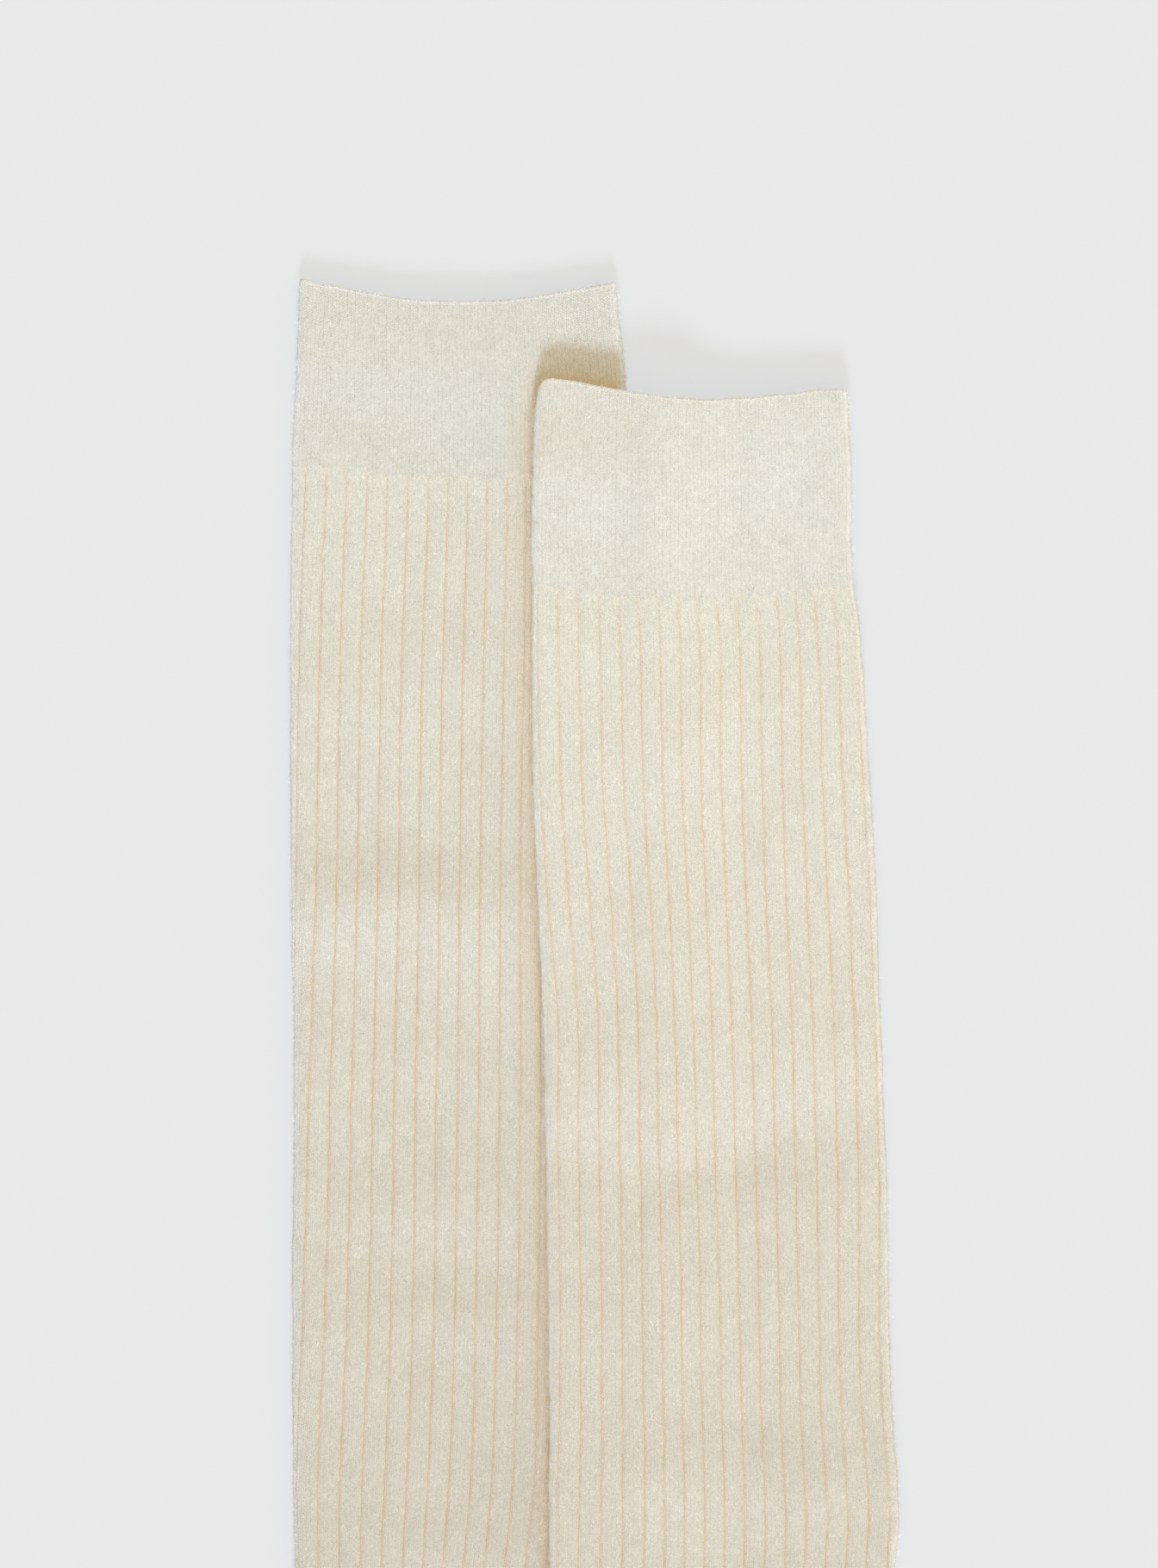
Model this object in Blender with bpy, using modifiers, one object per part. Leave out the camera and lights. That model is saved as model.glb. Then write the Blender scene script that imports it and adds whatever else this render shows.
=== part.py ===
"""Pair of ribbed knee socks laid flat: the lower one on the ground, the upper one draped over its side.

Each sock is a knitted tube: a double cuff, a ribbed leg and foot, a heel pocket and a toe cap, each one solid.
The cloth is a wall of real thickness that follows a flattened round section, so the tube is hollow and open at the
top. Sizes below are in millimetres. The tables are laid out on a plan whose zero is a point beside the legs, +y
towards the cuffs, and the pair is then moved so that the middle of its footprint is the origin and z = 0 the ground.
"""

from collections import namedtuple
from math import cos, pi, radians, sin, sqrt

import bmesh
import bpy
import numpy as np

MM = 0.001

# ---- cloth --------------------------------------------------------------------------------------------------------
CUFF_WALL = 2.0  # the turned cuff is two layers of plain knit
LEG_WALL = 1.5
CUFF_THICK = 5.2  # over both sides of the flattened tube, fold to fold
LEG_THICK = 4.4
SEAM_GAP = 0.4
TOE_GAP = 0.65  # along the seam that closes the toe, whose cap starts to narrow there
LAY_GAP = 0.6  # air between the two socks where one lies on the other
CUFF_COLOUR = (0.775, 0.745, 0.645)
LEG_COLOUR = (0.745, 0.700, 0.575)
ROUGHNESS = 0.9

# ---- how the upper sock comes down off the lower one ---------------------------------------------------------------
DRAPE_START = 4.5  # how far beside the lower sock's outline it starts to come down
DRAPE_END = 16.0  # and where it reaches the ground

# ---- legs: one row for each level, read down the leg. left and right are the two folds, sag is how far the knitted
# rows dip in the middle. ---------------------------------------------------------------------------------------------
Leg = namedtuple("Leg", "level left right sag")
LOWER_LEG = (
    Leg(147.0, -81.3, 11.0, 6.3),
    Leg(136.0, -81.6, 11.6, 5.6),
    Leg(120.0, -82.3, 13.4, 4.8),
    Leg(93.5, -83.4, 14.2, 4.2),
    Leg(62.0, -83.8, 14.9, 3.8),
    Leg(-18.0, -83.8, 15.8, 3.4),
    Leg(-88.0, -82.9, 16.8, 3.2),
    Leg(-150.0, -83.4, 17.4, 3.0),
    Leg(-205.0, -83.0, 14.0, 2.0),
)
UPPER_LEG = (
    Leg(118.0, -12.2, 78.2, 4.6),
    Leg(105.0, -12.9, 78.4, 4.2),
    Leg(88.0, -13.4, 79.3, 3.8),
    Leg(57.5, -13.7, 79.9, 3.5),
    Leg(46.0, -13.7, 81.5, 3.4),
    Leg(10.0, -13.5, 84.0, 3.2),
    Leg(-30.0, -12.3, 86.4, 3.0),
    Leg(-65.0, -10.5, 87.5, 2.9),
    Leg(-110.0, -9.7, 89.3, 2.8),
    Leg(-170.0, -8.8, 90.6, 2.6),
    Leg(-228.0, -8.7, 92.0, 2.2),
)
CUFF_END = {"lower": 93.5, "upper": 57.5}  # level where the cuff meets the ribs
MOUTH_TILT = {"lower": -1.0, "upper": -3.2}  # how much lower the right end of the cuff's edge lies than its left
MOUTH_CORNER = {"lower": (1.2, 1.2), "upper": (5.0, 1.5)}  # rounding of the edge's two corners
SAG_POWER = {"lower": 1.0, "upper": 1.6}

# ---- foot: measured from the ankle's back fold, x towards the toe, y up the leg --------------------------------------
ANKLE = {"lower": (-82.5, -233.0), "upper": (-8.6, -262.0)}
Turn = namedtuple("Turn", "back_x back_y mid_x mid_y front_x front_y")
ANKLE_ROWS = (
    Turn(0.0, 0.0, 46.0, -1.0, 92.5, 1.0),
    Turn(0.6, -14.0, 45.2, -13.0, 89.6, -7.5),
    Turn(0.6, -29.0, 44.5, -30.0, 88.5, -15.0),
    Turn(0.0, -45.0, 43.0, -52.0, 89.5, -22.5),
)
FOOT_SLOPE = -15.0  # degrees, of the foot's own axis
# along the foot's axis and across it, from the point where the heel's two edges meet; the first row's instep end is
# the last one of the ankle
Foot = namedtuple("Foot", "sole_at sole_out mid_at top_at top_out")
FOOT_ROWS = (
    Foot(6.0, 43.0, 0.0, 37.3, 40.5),
    Foot(22.0, 43.3, 19.0, 47.0, 40.0),
    Foot(42.0, 42.6, 43.0, 60.0, 41.2),
    Foot(66.0, 41.6, 68.0, 78.0, 41.6),
    Foot(92.0, 41.6, 94.0, 98.0, 41.6),
    Foot(114.0, 42.0, 115.0, 116.5, 42.0),
    Foot(134.0, 41.6, 134.0, 134.0, 42.0),
)
TOE_ROWS = (
    Foot(134.0, 41.6, 134.0, 134.0, 42.0),
    Foot(144.0, 40.0, 144.0, 144.0, 41.0),
    Foot(155.0, 35.5, 155.0, 155.0, 37.5),
    Foot(163.0, 29.0, 163.0, 163.0, 32.0),
    Foot(169.0, 20.0, 169.0, 169.0, 24.0),
    Foot(172.0, 10.0, 172.0, 172.0, 14.0),
)
Heel = namedtuple("Heel", "turn reach")  # angle round the point where the heel's edges meet, and length of the knit
HEEL_ROWS = (
    Heel(171.0, 43.6),
    Heel(185.0, 46.6),
    Heel(200.0, 50.0),
    Heel(215.0, 52.2),
    Heel(230.0, 51.4),
    Heel(246.0, 47.2),
    Heel(263.0, 43.4),
)

# ---- how finely the cloth is faceted --------------------------------------------------------------------------------
LANES = {"lower": 4, "upper": 5}  # strips across each half of a side
TOE_LANES = 4
FOLD_STEPS = 2  # steps round a quarter of a fold
CUFF_RINGS = 5
LEG_PITCH = 23.0
ANKLE_LEVEL = -205.0  # below this level the sections are closer together
ANKLE_PITCH = {"lower": 14.0, "upper": 10.0}
FOOT_PITCH = {"lower": 14.0, "upper": 10.0}
HEEL_RINGS = 7
TOE_RINGS = 4

TOE_AXIS = np.array((cos(radians(FOOT_SLOPE)), sin(radians(FOOT_SLOPE))))
TOE_UP = np.array((-sin(radians(FOOT_SLOPE)), cos(radians(FOOT_SLOPE))))


def smooth(table, at, where):
    """Values of a table at positions `where`, on a curve through its rows at positions `at`."""
    table, at, where = np.asarray(table, float), np.asarray(at, float), np.asarray(where, float)
    steps = np.diff(table, axis=0) / np.diff(at)[:, None]
    slope = np.empty_like(table)
    slope[0], slope[-1] = steps[0], steps[-1]
    gap = np.diff(at)[:, None]
    slope[1:-1] = (steps[:-1] * gap[1:] + steps[1:] * gap[:-1]) / (gap[:-1] + gap[1:])
    i = np.clip(np.searchsorted(at, where, side="right") - 1, 0, len(at) - 2)
    h = (at[i + 1] - at[i])[:, None]
    s = ((where - at[i]) / (at[i + 1] - at[i]))[:, None]
    return (
        table[i] * (2 * s**3 - 3 * s**2 + 1)
        + slope[i] * h * (s**3 - 2 * s**2 + s)
        + table[i + 1] * (3 * s**2 - 2 * s**3)
        + slope[i + 1] * h * (s**3 - s**2)
    )


def leg_rows(which):
    """Rows of the leg, from the cuff's edge to the heel: back fold, middle and front fold in plan, and the sag."""
    rows = []
    for r in LOWER_LEG if which == "lower" else UPPER_LEG:
        tilt = MOUTH_TILT[which] * max(0.0, (r.level - CUFF_END[which]) / (118.0 - 57.5))
        rows.append((r.left, r.level, (r.left + r.right) / 2, r.level + tilt / 2, r.right, r.level + tilt, r.sag))
    ox, oy = ANKLE[which]
    for n, r in enumerate(ANKLE_ROWS):
        rows.append(
            (ox + r.back_x, oy + r.back_y, ox + r.mid_x, oy + r.mid_y, ox + r.front_x, oy + r.front_y, 1.2 * (3 - n) / 3)
        )
    return np.array(rows)


def foot_rows(which, table):
    """Rows of the foot or toe: sole fold, middle and instep fold in plan, no sag."""
    start = np.array(ANKLE[which]) + (ANKLE_ROWS[-1].mid_x, ANKLE_ROWS[-1].mid_y)
    rows = []
    for r in table:
        sole = start + TOE_AXIS * r.sole_at - TOE_UP * r.sole_out
        mid = start + TOE_AXIS * r.mid_at
        top = start + TOE_AXIS * r.top_at + TOE_UP * r.top_out
        if r is FOOT_ROWS[0]:
            top = np.array(ANKLE[which]) + (ANKLE_ROWS[-1].front_x, ANKLE_ROWS[-1].front_y)
        rows.append((*sole, *mid, *top, 0.0))
    return np.array(rows)


def positions(rows):
    """How far down the sock each row is, along the folds and the middle."""
    step = np.diff(rows[:, :6], axis=0).reshape(-1, 3, 2)
    return np.concatenate([[0.0], np.cumsum(np.linalg.norm(step, axis=2).mean(1))])


def fold(thick):
    """Steps round the quarter of a fold that leads from its outermost line to the flat: (inset, rise)."""
    r = thick / 2
    turns = [pi / 2 * k / FOLD_STEPS for k in range(FOLD_STEPS + 1)]
    return [(r * (1 - cos(a)), r * sin(a)) for a in turns]


def half(thick, length, lanes):
    """Points of half a side from its fold to the middle: (distance from the fold's outermost line, rise)."""
    r = thick / 2
    return fold(thick) + [(r + (length - r) * k / lanes, r) for k in range(1, lanes + 1)]


def mouth_drop(which, inset_left, inset_right):
    """Rounding of the two corners of the cuff's edge, in plan."""
    drop = 0.0
    for inset, radius in ((inset_left, MOUTH_CORNER[which][0]), (inset_right, MOUTH_CORNER[which][1])):
        if inset < radius:
            drop += radius - sqrt(radius * radius - (radius - inset) ** 2)
    return drop


def ring(row, thick, which, centre, corner=0.0, side="both", lanes=None):
    """One closed section (or the half at the heel's side), as plan points and heights above what it lies on."""
    back, mid, front, sag = row[0:2], row[2:4], row[4:6], row[6]
    back_len, front_len = np.linalg.norm(mid - back), np.linalg.norm(front - mid)
    power, lanes = SAG_POWER[which], lanes or LANES[which]
    top = []
    for out, rise in half(thick, back_len, lanes):
        top.append((back + (mid - back) * out / back_len, rise, 0.5 * out / back_len, out))
    if side == "both":
        for out, rise in half(thick, front_len, lanes)[-2::-1]:
            top.append((front + (mid - front) * out / front_len, rise, 1 - 0.5 * out / front_len, out))
    points = []
    for plan, rise, share, out in top:
        dip = sag * sin(pi * share) ** power
        if corner:
            left, right = (out, 99.0) if share < 0.5 else (99.0, out)
            dip += corner * mouth_drop(which, left, right)
        points.append((plan[0], plan[1] - dip, rise))
    under = [(x, y, -rise) for x, y, rise in points]
    if side == "both":
        loop = points + under[-2:0:-1]
    else:
        loop = under[:0:-1] + points
    return np.array([(x, y, centre + rise) for x, y, rise in loop])


def outline_of(which):
    """The sock's outline in plan, as a closed run of points."""
    leg = leg_rows(which)
    at = positions(leg)
    leg = smooth(leg, at, np.linspace(0, at[-1], 70))
    foot = foot_rows(which, FOOT_ROWS + TOE_ROWS[1:])
    at = positions(foot)
    foot = smooth(foot, at, np.linspace(0, at[-1], 40))
    heel = heel_plan(which, np.linspace(0, 1, 15))
    back = np.concatenate([leg[:, 0:2], heel, foot[:, 0:2]])
    front = np.concatenate([leg[:, 4:6], foot[:, 4:6]])
    return np.concatenate([back, front[::-1]])


def heel_plan(which, share):
    """Points on the heel's outer fold, from its leg end to its foot end."""
    start = np.array(ANKLE[which]) + (ANKLE_ROWS[-1].mid_x, ANKLE_ROWS[-1].mid_y)
    table = [(radians(r.turn), r.reach) for r in HEEL_ROWS]
    at = [r.turn for r in HEEL_ROWS]
    values = smooth(table, at, at[0] + np.asarray(share) * (at[-1] - at[0]))
    return start + np.stack([np.cos(values[:, 0]), np.sin(values[:, 0])], 1) * values[:, 1:2]


def beside(points, outline):
    """Distance of each plan point from the outline, negative inside it."""
    a, b = outline, np.roll(outline, -1, axis=0)
    keep = np.linalg.norm(b - a, axis=1) > 1e-6
    a, b = a[keep], b[keep]
    out = np.empty(len(points))
    for n, p in enumerate(points):
        along = np.clip(((p - a) * (b - a)).sum(1) / ((b - a) ** 2).sum(1), 0, 1)
        near = np.linalg.norm(a + (b - a) * along[:, None] - p, axis=1).min()
        cross = (a[:, 1] > p[1]) != (b[:, 1] > p[1])
        at = a[cross, 0] + (p[1] - a[cross, 1]) / (b[cross, 1] - a[cross, 1]) * (b[cross, 0] - a[cross, 0])
        out[n] = -near if (at > p[0]).sum() % 2 else near
    return out


def drape(points, outline):
    """Lifts the upper sock over the lower one: level on top of it, down to the ground beside it."""
    thick = np.where(points[:, 1] > CUFF_END["lower"] - 8, CUFF_THICK, LEG_THICK)
    away = np.clip((beside(points[:, :2], outline) - DRAPE_START) / (DRAPE_END - DRAPE_START), 0, 1)
    points[:, 2] += (thick + LAY_GAP) * (1 - away * away * (3 - 2 * away))
    return points


def add_grid(mesh, rings, closed):
    """Bridges successive sections with faces."""
    rows = [[mesh.verts.new(p * MM) for p in r] for r in rings]
    count = len(rows[0])
    for low, high in zip(rows, rows[1:]):
        for k in range(count if closed else count - 1):
            n = (k + 1) % count
            mesh.faces.new((low[k], high[k], high[n], low[n]))


def make_shell(name, grids, wall, colour, collection, shift):
    """An open knitted surface from grids of sections, given its wall by Solidify."""
    shell = bmesh.new()
    for rings, closed in grids:
        add_grid(shell, [r + shift for r in rings], closed)
    bmesh.ops.remove_doubles(shell, verts=shell.verts, dist=2e-5)
    bmesh.ops.dissolve_degenerate(shell, edges=shell.edges, dist=1e-6)
    mesh = bpy.data.meshes.new(name)
    shell.to_mesh(mesh)
    shell.free()
    mesh.shade_smooth()
    obj = bpy.data.objects.new(name, mesh)
    collection.objects.link(obj)
    knit = obj.modifiers.new("knit", "SOLIDIFY")
    knit.thickness = wall * MM
    knit.offset = -1.0
    knit.use_even_offset = True
    material = bpy.data.materials.new(name)
    material.use_nodes = True
    bsdf = material.node_tree.nodes["Principled BSDF"]
    bsdf.inputs["Base Color"].default_value = (*colour, 1)
    bsdf.inputs["Roughness"].default_value = ROUGHNESS
    bsdf.inputs["Metallic"].default_value = 0.0
    mesh.materials.append(material)
    return obj


def cuff_rings(which):
    rows = leg_rows(which)
    at = positions(rows)
    end = at[[n for n, r in enumerate(rows) if r[1] == CUFF_END[which]][0]] - SEAM_GAP / 2
    where = end * np.linspace(0, 1, CUFF_RINGS) ** 1.15
    rings = []
    for row, a in zip(smooth(rows, at, where), where):
        rings.append(ring(row, CUFF_THICK, which, CUFF_THICK / 2, corner=max(0.0, 1 - a / 9.0)))
    return rings


def leg_rings(which):
    rows = leg_rows(which)
    at = positions(rows)
    start = at[[n for n, r in enumerate(rows) if r[1] == CUFF_END[which]][0]] + SEAM_GAP / 2
    turn = np.interp(-ANKLE_LEVEL, -rows[:, 1], at)
    straight = np.linspace(start, turn, int(round((turn - start) / LEG_PITCH)) + 1)
    ankle = np.linspace(turn, at[-1], int(round((at[-1] - turn) / ANKLE_PITCH[which])) + 1)
    where = np.concatenate([straight, ankle[1:]])
    return [ring(row, LEG_THICK, which, LEG_THICK / 2) for row in smooth(rows, at, where)]


def foot_rings(which):
    rows = foot_rows(which, FOOT_ROWS)
    at = positions(rows)
    where = np.linspace(0, at[-1] - TOE_GAP, int(round(at[-1] / FOOT_PITCH[which])) + 1)
    return [ring(row, LEG_THICK, which, LEG_THICK / 2) for row in smooth(rows, at, where)]


def toe_rings(which):
    """The toe cap: its last sections thin out round the end, down to one line."""
    rows = foot_rows(which, TOE_ROWS)
    at = positions(rows)
    r = LEG_THICK / 2
    tip = [at[-1] - r * (1 - cos(a)) for a in (pi / 2, pi / 4, 0.0)]
    thick = [LEG_THICK, LEG_THICK * sin(pi / 4), 0.0]
    where = np.concatenate([np.linspace(0, tip[0], TOE_RINGS), tip[1:]])
    thick = [LEG_THICK] * (TOE_RINGS - 1) + thick
    return [ring(row, t, which, r, lanes=TOE_LANES) for row, t in zip(smooth(rows, at, where), thick)]


def heel_rings(which):
    """The heel pocket fans round the point where its two edges meet, a seam's gap inside them."""
    start = np.array(ANKLE[which]) + (ANKLE_ROWS[-1].mid_x, ANKLE_ROWS[-1].mid_y)
    first, last = radians(HEEL_ROWS[0].turn), radians(HEEL_ROWS[-1].turn)
    middle = (first + last) / 2
    inset = SEAM_GAP / sin((last - first) / 2)
    point = start + np.array((cos(middle), sin(middle))) * inset
    rings = []
    shares = np.linspace(0, 1, HEEL_RINGS)
    for share, edge in zip(shares, heel_plan(which, shares)):
        way = edge - start
        length = np.linalg.norm(way)
        way /= length
        # the first and last sections run beside the heel's edges, the others straight from its point
        begin = point + way * 1.6
        if share in (0.0, 1.0):
            side = np.array((-way[1], way[0])) * (1 if share == 0.0 else -1)
            edge = edge + side * SEAM_GAP
        row = np.array((*edge, *begin, *begin, 0.0))
        rings.append(ring(row, LEG_THICK, which, LEG_THICK / 2, side="back"))
    return rings


def build():
    for obj in list(bpy.data.objects):
        bpy.data.objects.remove(obj)
    collection = bpy.data.collections.new("knee_socks")
    bpy.context.scene.collection.children.link(collection)

    lower = outline_of("lower")
    shells = []
    for which in ("lower", "upper"):
        pieces = (
            ("cuff", [(cuff_rings(which), True)], CUFF_WALL, CUFF_COLOUR),
            ("leg", [(leg_rings(which), True), (foot_rings(which), True)], LEG_WALL, LEG_COLOUR),
            ("heel", [(heel_rings(which), False)], LEG_WALL, CUFF_COLOUR),
            ("toe", [(toe_rings(which), True)], LEG_WALL, CUFF_COLOUR),
        )
        for name, grids, wall, colour in pieces:
            if which == "upper":
                grids = [([drape(r, lower) for r in rings], closed) for rings, closed in grids]
            shells.append((f"{which}_{name}", grids, wall, colour))

    points = np.concatenate([r for shell in shells for rings, _ in shell[1] for r in rings])
    low, high = points.min(0), points.max(0)
    shift = np.array((-(low[0] + high[0]) / 2, -(low[1] + high[1]) / 2, 0.0))
    for name, grids, wall, colour in shells:
        make_shell(name, grids, wall, colour, collection, shift)


build()
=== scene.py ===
"""Looks of the pair of ribbed knee socks: thin knitted shells with their ribs, creases and seams, on a pale floor."""

from collections import namedtuple
from math import cos, pi, radians, sin

import bmesh
import bpy
import numpy as np
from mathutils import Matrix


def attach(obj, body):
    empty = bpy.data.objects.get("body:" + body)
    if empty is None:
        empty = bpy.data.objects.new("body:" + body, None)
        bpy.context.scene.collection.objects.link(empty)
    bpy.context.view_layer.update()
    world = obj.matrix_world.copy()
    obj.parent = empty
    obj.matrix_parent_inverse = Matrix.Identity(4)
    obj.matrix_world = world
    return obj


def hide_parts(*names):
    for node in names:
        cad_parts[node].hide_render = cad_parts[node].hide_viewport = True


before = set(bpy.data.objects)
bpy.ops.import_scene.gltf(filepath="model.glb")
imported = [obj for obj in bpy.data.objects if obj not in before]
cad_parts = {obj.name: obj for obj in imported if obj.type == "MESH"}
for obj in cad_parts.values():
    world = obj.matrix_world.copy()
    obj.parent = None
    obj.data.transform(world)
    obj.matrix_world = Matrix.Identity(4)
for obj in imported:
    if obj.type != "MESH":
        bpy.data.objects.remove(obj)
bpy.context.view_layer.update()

MM = 0.001

# ---- sizes of the cloth, in millimetres, as in the solids ------------------------------------------------------------
CUFF_WALL = 2.0
LEG_WALL = 1.5
MOUTH_WALL = 1.3  # the turned edge of the cuff is pressed thin
CUFF_THICK = 5.2
LEG_THICK = 4.4
LAY_GAP = 0.6
PLAN_SHIFT = (-58.952, 121.455)  # from the plan's zero to the middle of the pair's footprint

DRAPE_START = 4.0
DRAPE_END = 34.0  # above the lower sock's edge the cloth bridges down in a long easy curve

Leg = namedtuple("Leg", "level left right sag")
LOWER_LEG = (
    Leg(147.0, -81.3, 11.0, 6.3),
    Leg(136.0, -81.6, 11.6, 5.6),
    Leg(120.0, -82.3, 13.4, 4.8),
    Leg(93.5, -83.4, 14.2, 4.2),
    Leg(62.0, -83.8, 14.9, 3.8),
    Leg(-18.0, -83.8, 15.8, 3.4),
    Leg(-88.0, -82.9, 16.8, 3.2),
    Leg(-150.0, -83.4, 17.4, 3.0),
    Leg(-205.0, -83.0, 14.0, 2.0),
)
UPPER_LEG = (
    Leg(118.0, -12.2, 78.2, 4.6),
    Leg(105.0, -12.9, 78.4, 4.2),
    Leg(88.0, -13.4, 79.3, 3.8),
    Leg(57.5, -13.7, 79.9, 3.5),
    Leg(46.0, -13.7, 81.5, 3.4),
    Leg(10.0, -13.5, 84.0, 3.2),
    Leg(-30.0, -12.3, 86.4, 3.0),
    Leg(-65.0, -10.5, 87.5, 2.9),
    Leg(-110.0, -9.7, 89.3, 2.8),
    Leg(-170.0, -8.8, 90.6, 2.6),
    Leg(-228.0, -8.7, 92.0, 2.2),
)
CUFF_END = {"lower": 93.5, "upper": 57.5}
CUFF_SHORT = {"lower": 0.75, "upper": 0.5}  # the ribs' first rows are drawn up into the cuff
MOUTH_TILT = {"lower": -1.0, "upper": -3.2}
MOUTH_CORNER = {"lower": (1.2, 1.2), "upper": (5.0, 1.5)}
SAG_POWER = {"lower": 1.0, "upper": 1.6}

ANKLE = {"lower": (-82.5, -233.0), "upper": (-8.6, -262.0)}
Turn = namedtuple("Turn", "back_x back_y mid_x mid_y front_x front_y")
ANKLE_ROWS = (
    Turn(0.0, 0.0, 46.0, -1.0, 92.5, 1.0),
    Turn(0.6, -14.0, 45.2, -13.0, 89.6, -7.5),
    Turn(0.6, -29.0, 44.5, -30.0, 88.5, -15.0),
    Turn(0.0, -45.0, 43.0, -52.0, 89.5, -22.5),
)
FOOT_SLOPE = -15.0
Foot = namedtuple("Foot", "sole_at sole_out mid_at top_at top_out")
FOOT_ROWS = (
    Foot(6.0, 43.0, 0.0, 37.3, 40.5),
    Foot(22.0, 43.3, 19.0, 47.0, 40.0),
    Foot(42.0, 42.6, 43.0, 60.0, 41.2),
    Foot(66.0, 41.6, 68.0, 78.0, 41.6),
    Foot(92.0, 41.6, 94.0, 98.0, 41.6),
    Foot(114.0, 42.0, 115.0, 116.5, 42.0),
    Foot(134.0, 41.6, 134.0, 134.0, 42.0),
)
TOE_ROWS = (
    Foot(134.0, 41.6, 134.0, 134.0, 42.0),
    Foot(144.0, 40.0, 144.0, 144.0, 41.0),
    Foot(155.0, 35.5, 155.0, 155.0, 37.5),
    Foot(163.0, 29.0, 163.0, 163.0, 32.0),
    Foot(169.0, 20.0, 169.0, 169.0, 24.0),
    Foot(172.0, 11.0, 172.0, 172.0, 14.5),
    Foot(173.0, 4.5, 173.0, 173.0, 6.5),
)
Heel = namedtuple("Heel", "turn reach")
HEEL_ROWS = (
    Heel(171.0, 43.6),
    Heel(185.0, 46.6),
    Heel(200.0, 50.0),
    Heel(215.0, 52.2),
    Heel(230.0, 51.4),
    Heel(246.0, 47.2),
    Heel(263.0, 43.4),
)
TOE_AXIS = np.array((cos(radians(FOOT_SLOPE)), sin(radians(FOOT_SLOPE))))
TOE_UP = np.array((-sin(radians(FOOT_SLOPE)), cos(radians(FOOT_SLOPE))))

# ---- the ribs: 34 round each leg, counted from the left fold over the top. Where some of their sunken channels lie, in
# plan, at levels down the leg. ---------------------------------------------------------------------------------------
RIBS = 34
WALES = 5  # columns of stitches to a rib: four knitted, one sunken
COURSE = 0.78  # height of a stitch
CHANNELS = {"lower": (2, 7, 12), "upper": (1, 5, 9, 13, 17)}
LOWER_CHANNELS = {
    87.5: (-73.65, -43.85, -15.2),
    37.5: (-75.3, -45.7, -15.9),
    -25.0: (-76.45, -46.5, -17.0),
    -87.5: (-78.5, -47.7, -17.1),
    -150.0: (-80.25, -48.4, -17.9),
    -212.5: (-82.35, -50.5, -19.8),
}
UPPER_CHANNELS = {
    50.0: (-12.35, 11.6, 34.65, 57.8, 79.6),
    0.0: (-11.2, 13.1, 35.5, 59.0, 82.4),
    -37.5: (-8.8, 15.5, 37.2, 60.3, 84.5),
    -62.5: (-6.4, 16.8, 38.2, 61.5, 85.7),
    -100.0: (-6.3, 17.5, 39.3, 62.5, 86.9),
    -150.0: (-5.6, 18.3, 40.7, 63.6, 87.0),
    -212.5: (-6.5, 18.45, 41.5, 64.75, 88.7),
}
EVEN_FROM = {"lower": -262.0, "upper": -290.0}  # below this level of the back fold the ribs are evenly spread
MIDDLE_COLUMN = {"lower": 9.8, "upper": 8.93}  # column that runs into the heel's point
# columns of points over one rib, as a share of its width from the channel, and how deep the cloth lies there
RIB_PROFILE = (
    (0.0, 0.40),
    (0.025, 0.24),
    (0.065, 0.04),
    (0.20, -0.02),
    (0.5, -0.06),
    (0.80, -0.02),
    (0.935, 0.04),
    (0.975, 0.24),
)

# ---- main creases and soft swellings of the upper side: middle, direction in degrees, half length,
# half width and height (ridges up, troughs down). ---------------------------------------------------------------------
Crease = namedtuple("Crease", "x y turn length width height")
LOWER_CREASES = (
    Crease(-48.0, -35.5, 3.0, 44.0, 10.5, 1.7),
    Crease(-62.0, 31.0, -8.0, 26.0, 16.0, 0.35),
    Crease(-30.0, 12.0, 5.0, 22.0, 13.0, 0.35),
    Crease(-50.0, -160.0, 6.0, 30.0, 9.0, 0.45),
    Crease(-70.0, -188.0, -20.0, 16.0, 9.0, -0.40),
    Crease(-35.0, -120.0, -5.0, 24.0, 12.0, 0.30),
    Crease(-45.0, 118.0, 2.0, 24.0, 9.0, 0.40),
    Crease(-66.0, 108.0, -4.0, 16.0, 7.0, -0.25),
    Crease(-40.0, -255.0, -12.0, 26.0, 8.0, 0.6),
)
UPPER_CREASES = (
    Crease(48.0, -107.0, 22.0, 38.0, 7.5, -1.15),
    Crease(5.0, -108.0, -10.0, 16.0, 8.0, -0.7),
    Crease(28.0, -83.0, 12.0, 40.0, 9.0, 0.5),
    Crease(30.0, -46.0, 60.0, 14.0, 9.0, 0.5),
    Crease(2.0, -33.0, 20.0, 14.0, 9.0, -0.55),
    Crease(78.0, -50.0, 80.0, 20.0, 7.0, -0.45),
    Crease(55.0, 77.0, 10.0, 12.0, 8.0, -0.45),
    Crease(40.0, -203.0, 3.0, 40.0, 9.0, 0.8),
    Crease(62.0, -190.0, -6.0, 18.0, 6.0, -0.35),
    Crease(40.0, 20.0, -6.0, 30.0, 15.0, 0.3),
    Crease(30.0, -150.0, 5.0, 30.0, 12.0, 0.3),
    Crease(85.0, -268.0, -35.0, 22.0, 6.0, -0.9),
    Crease(68.0, -258.0, -50.0, 20.0, 6.0, 0.7),
    Crease(60.0, -320.0, 8.0, 30.0, 10.0, 0.6),
    Crease(118.0, -340.0, 70.0, 22.0, 9.0, -0.5),
)


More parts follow.
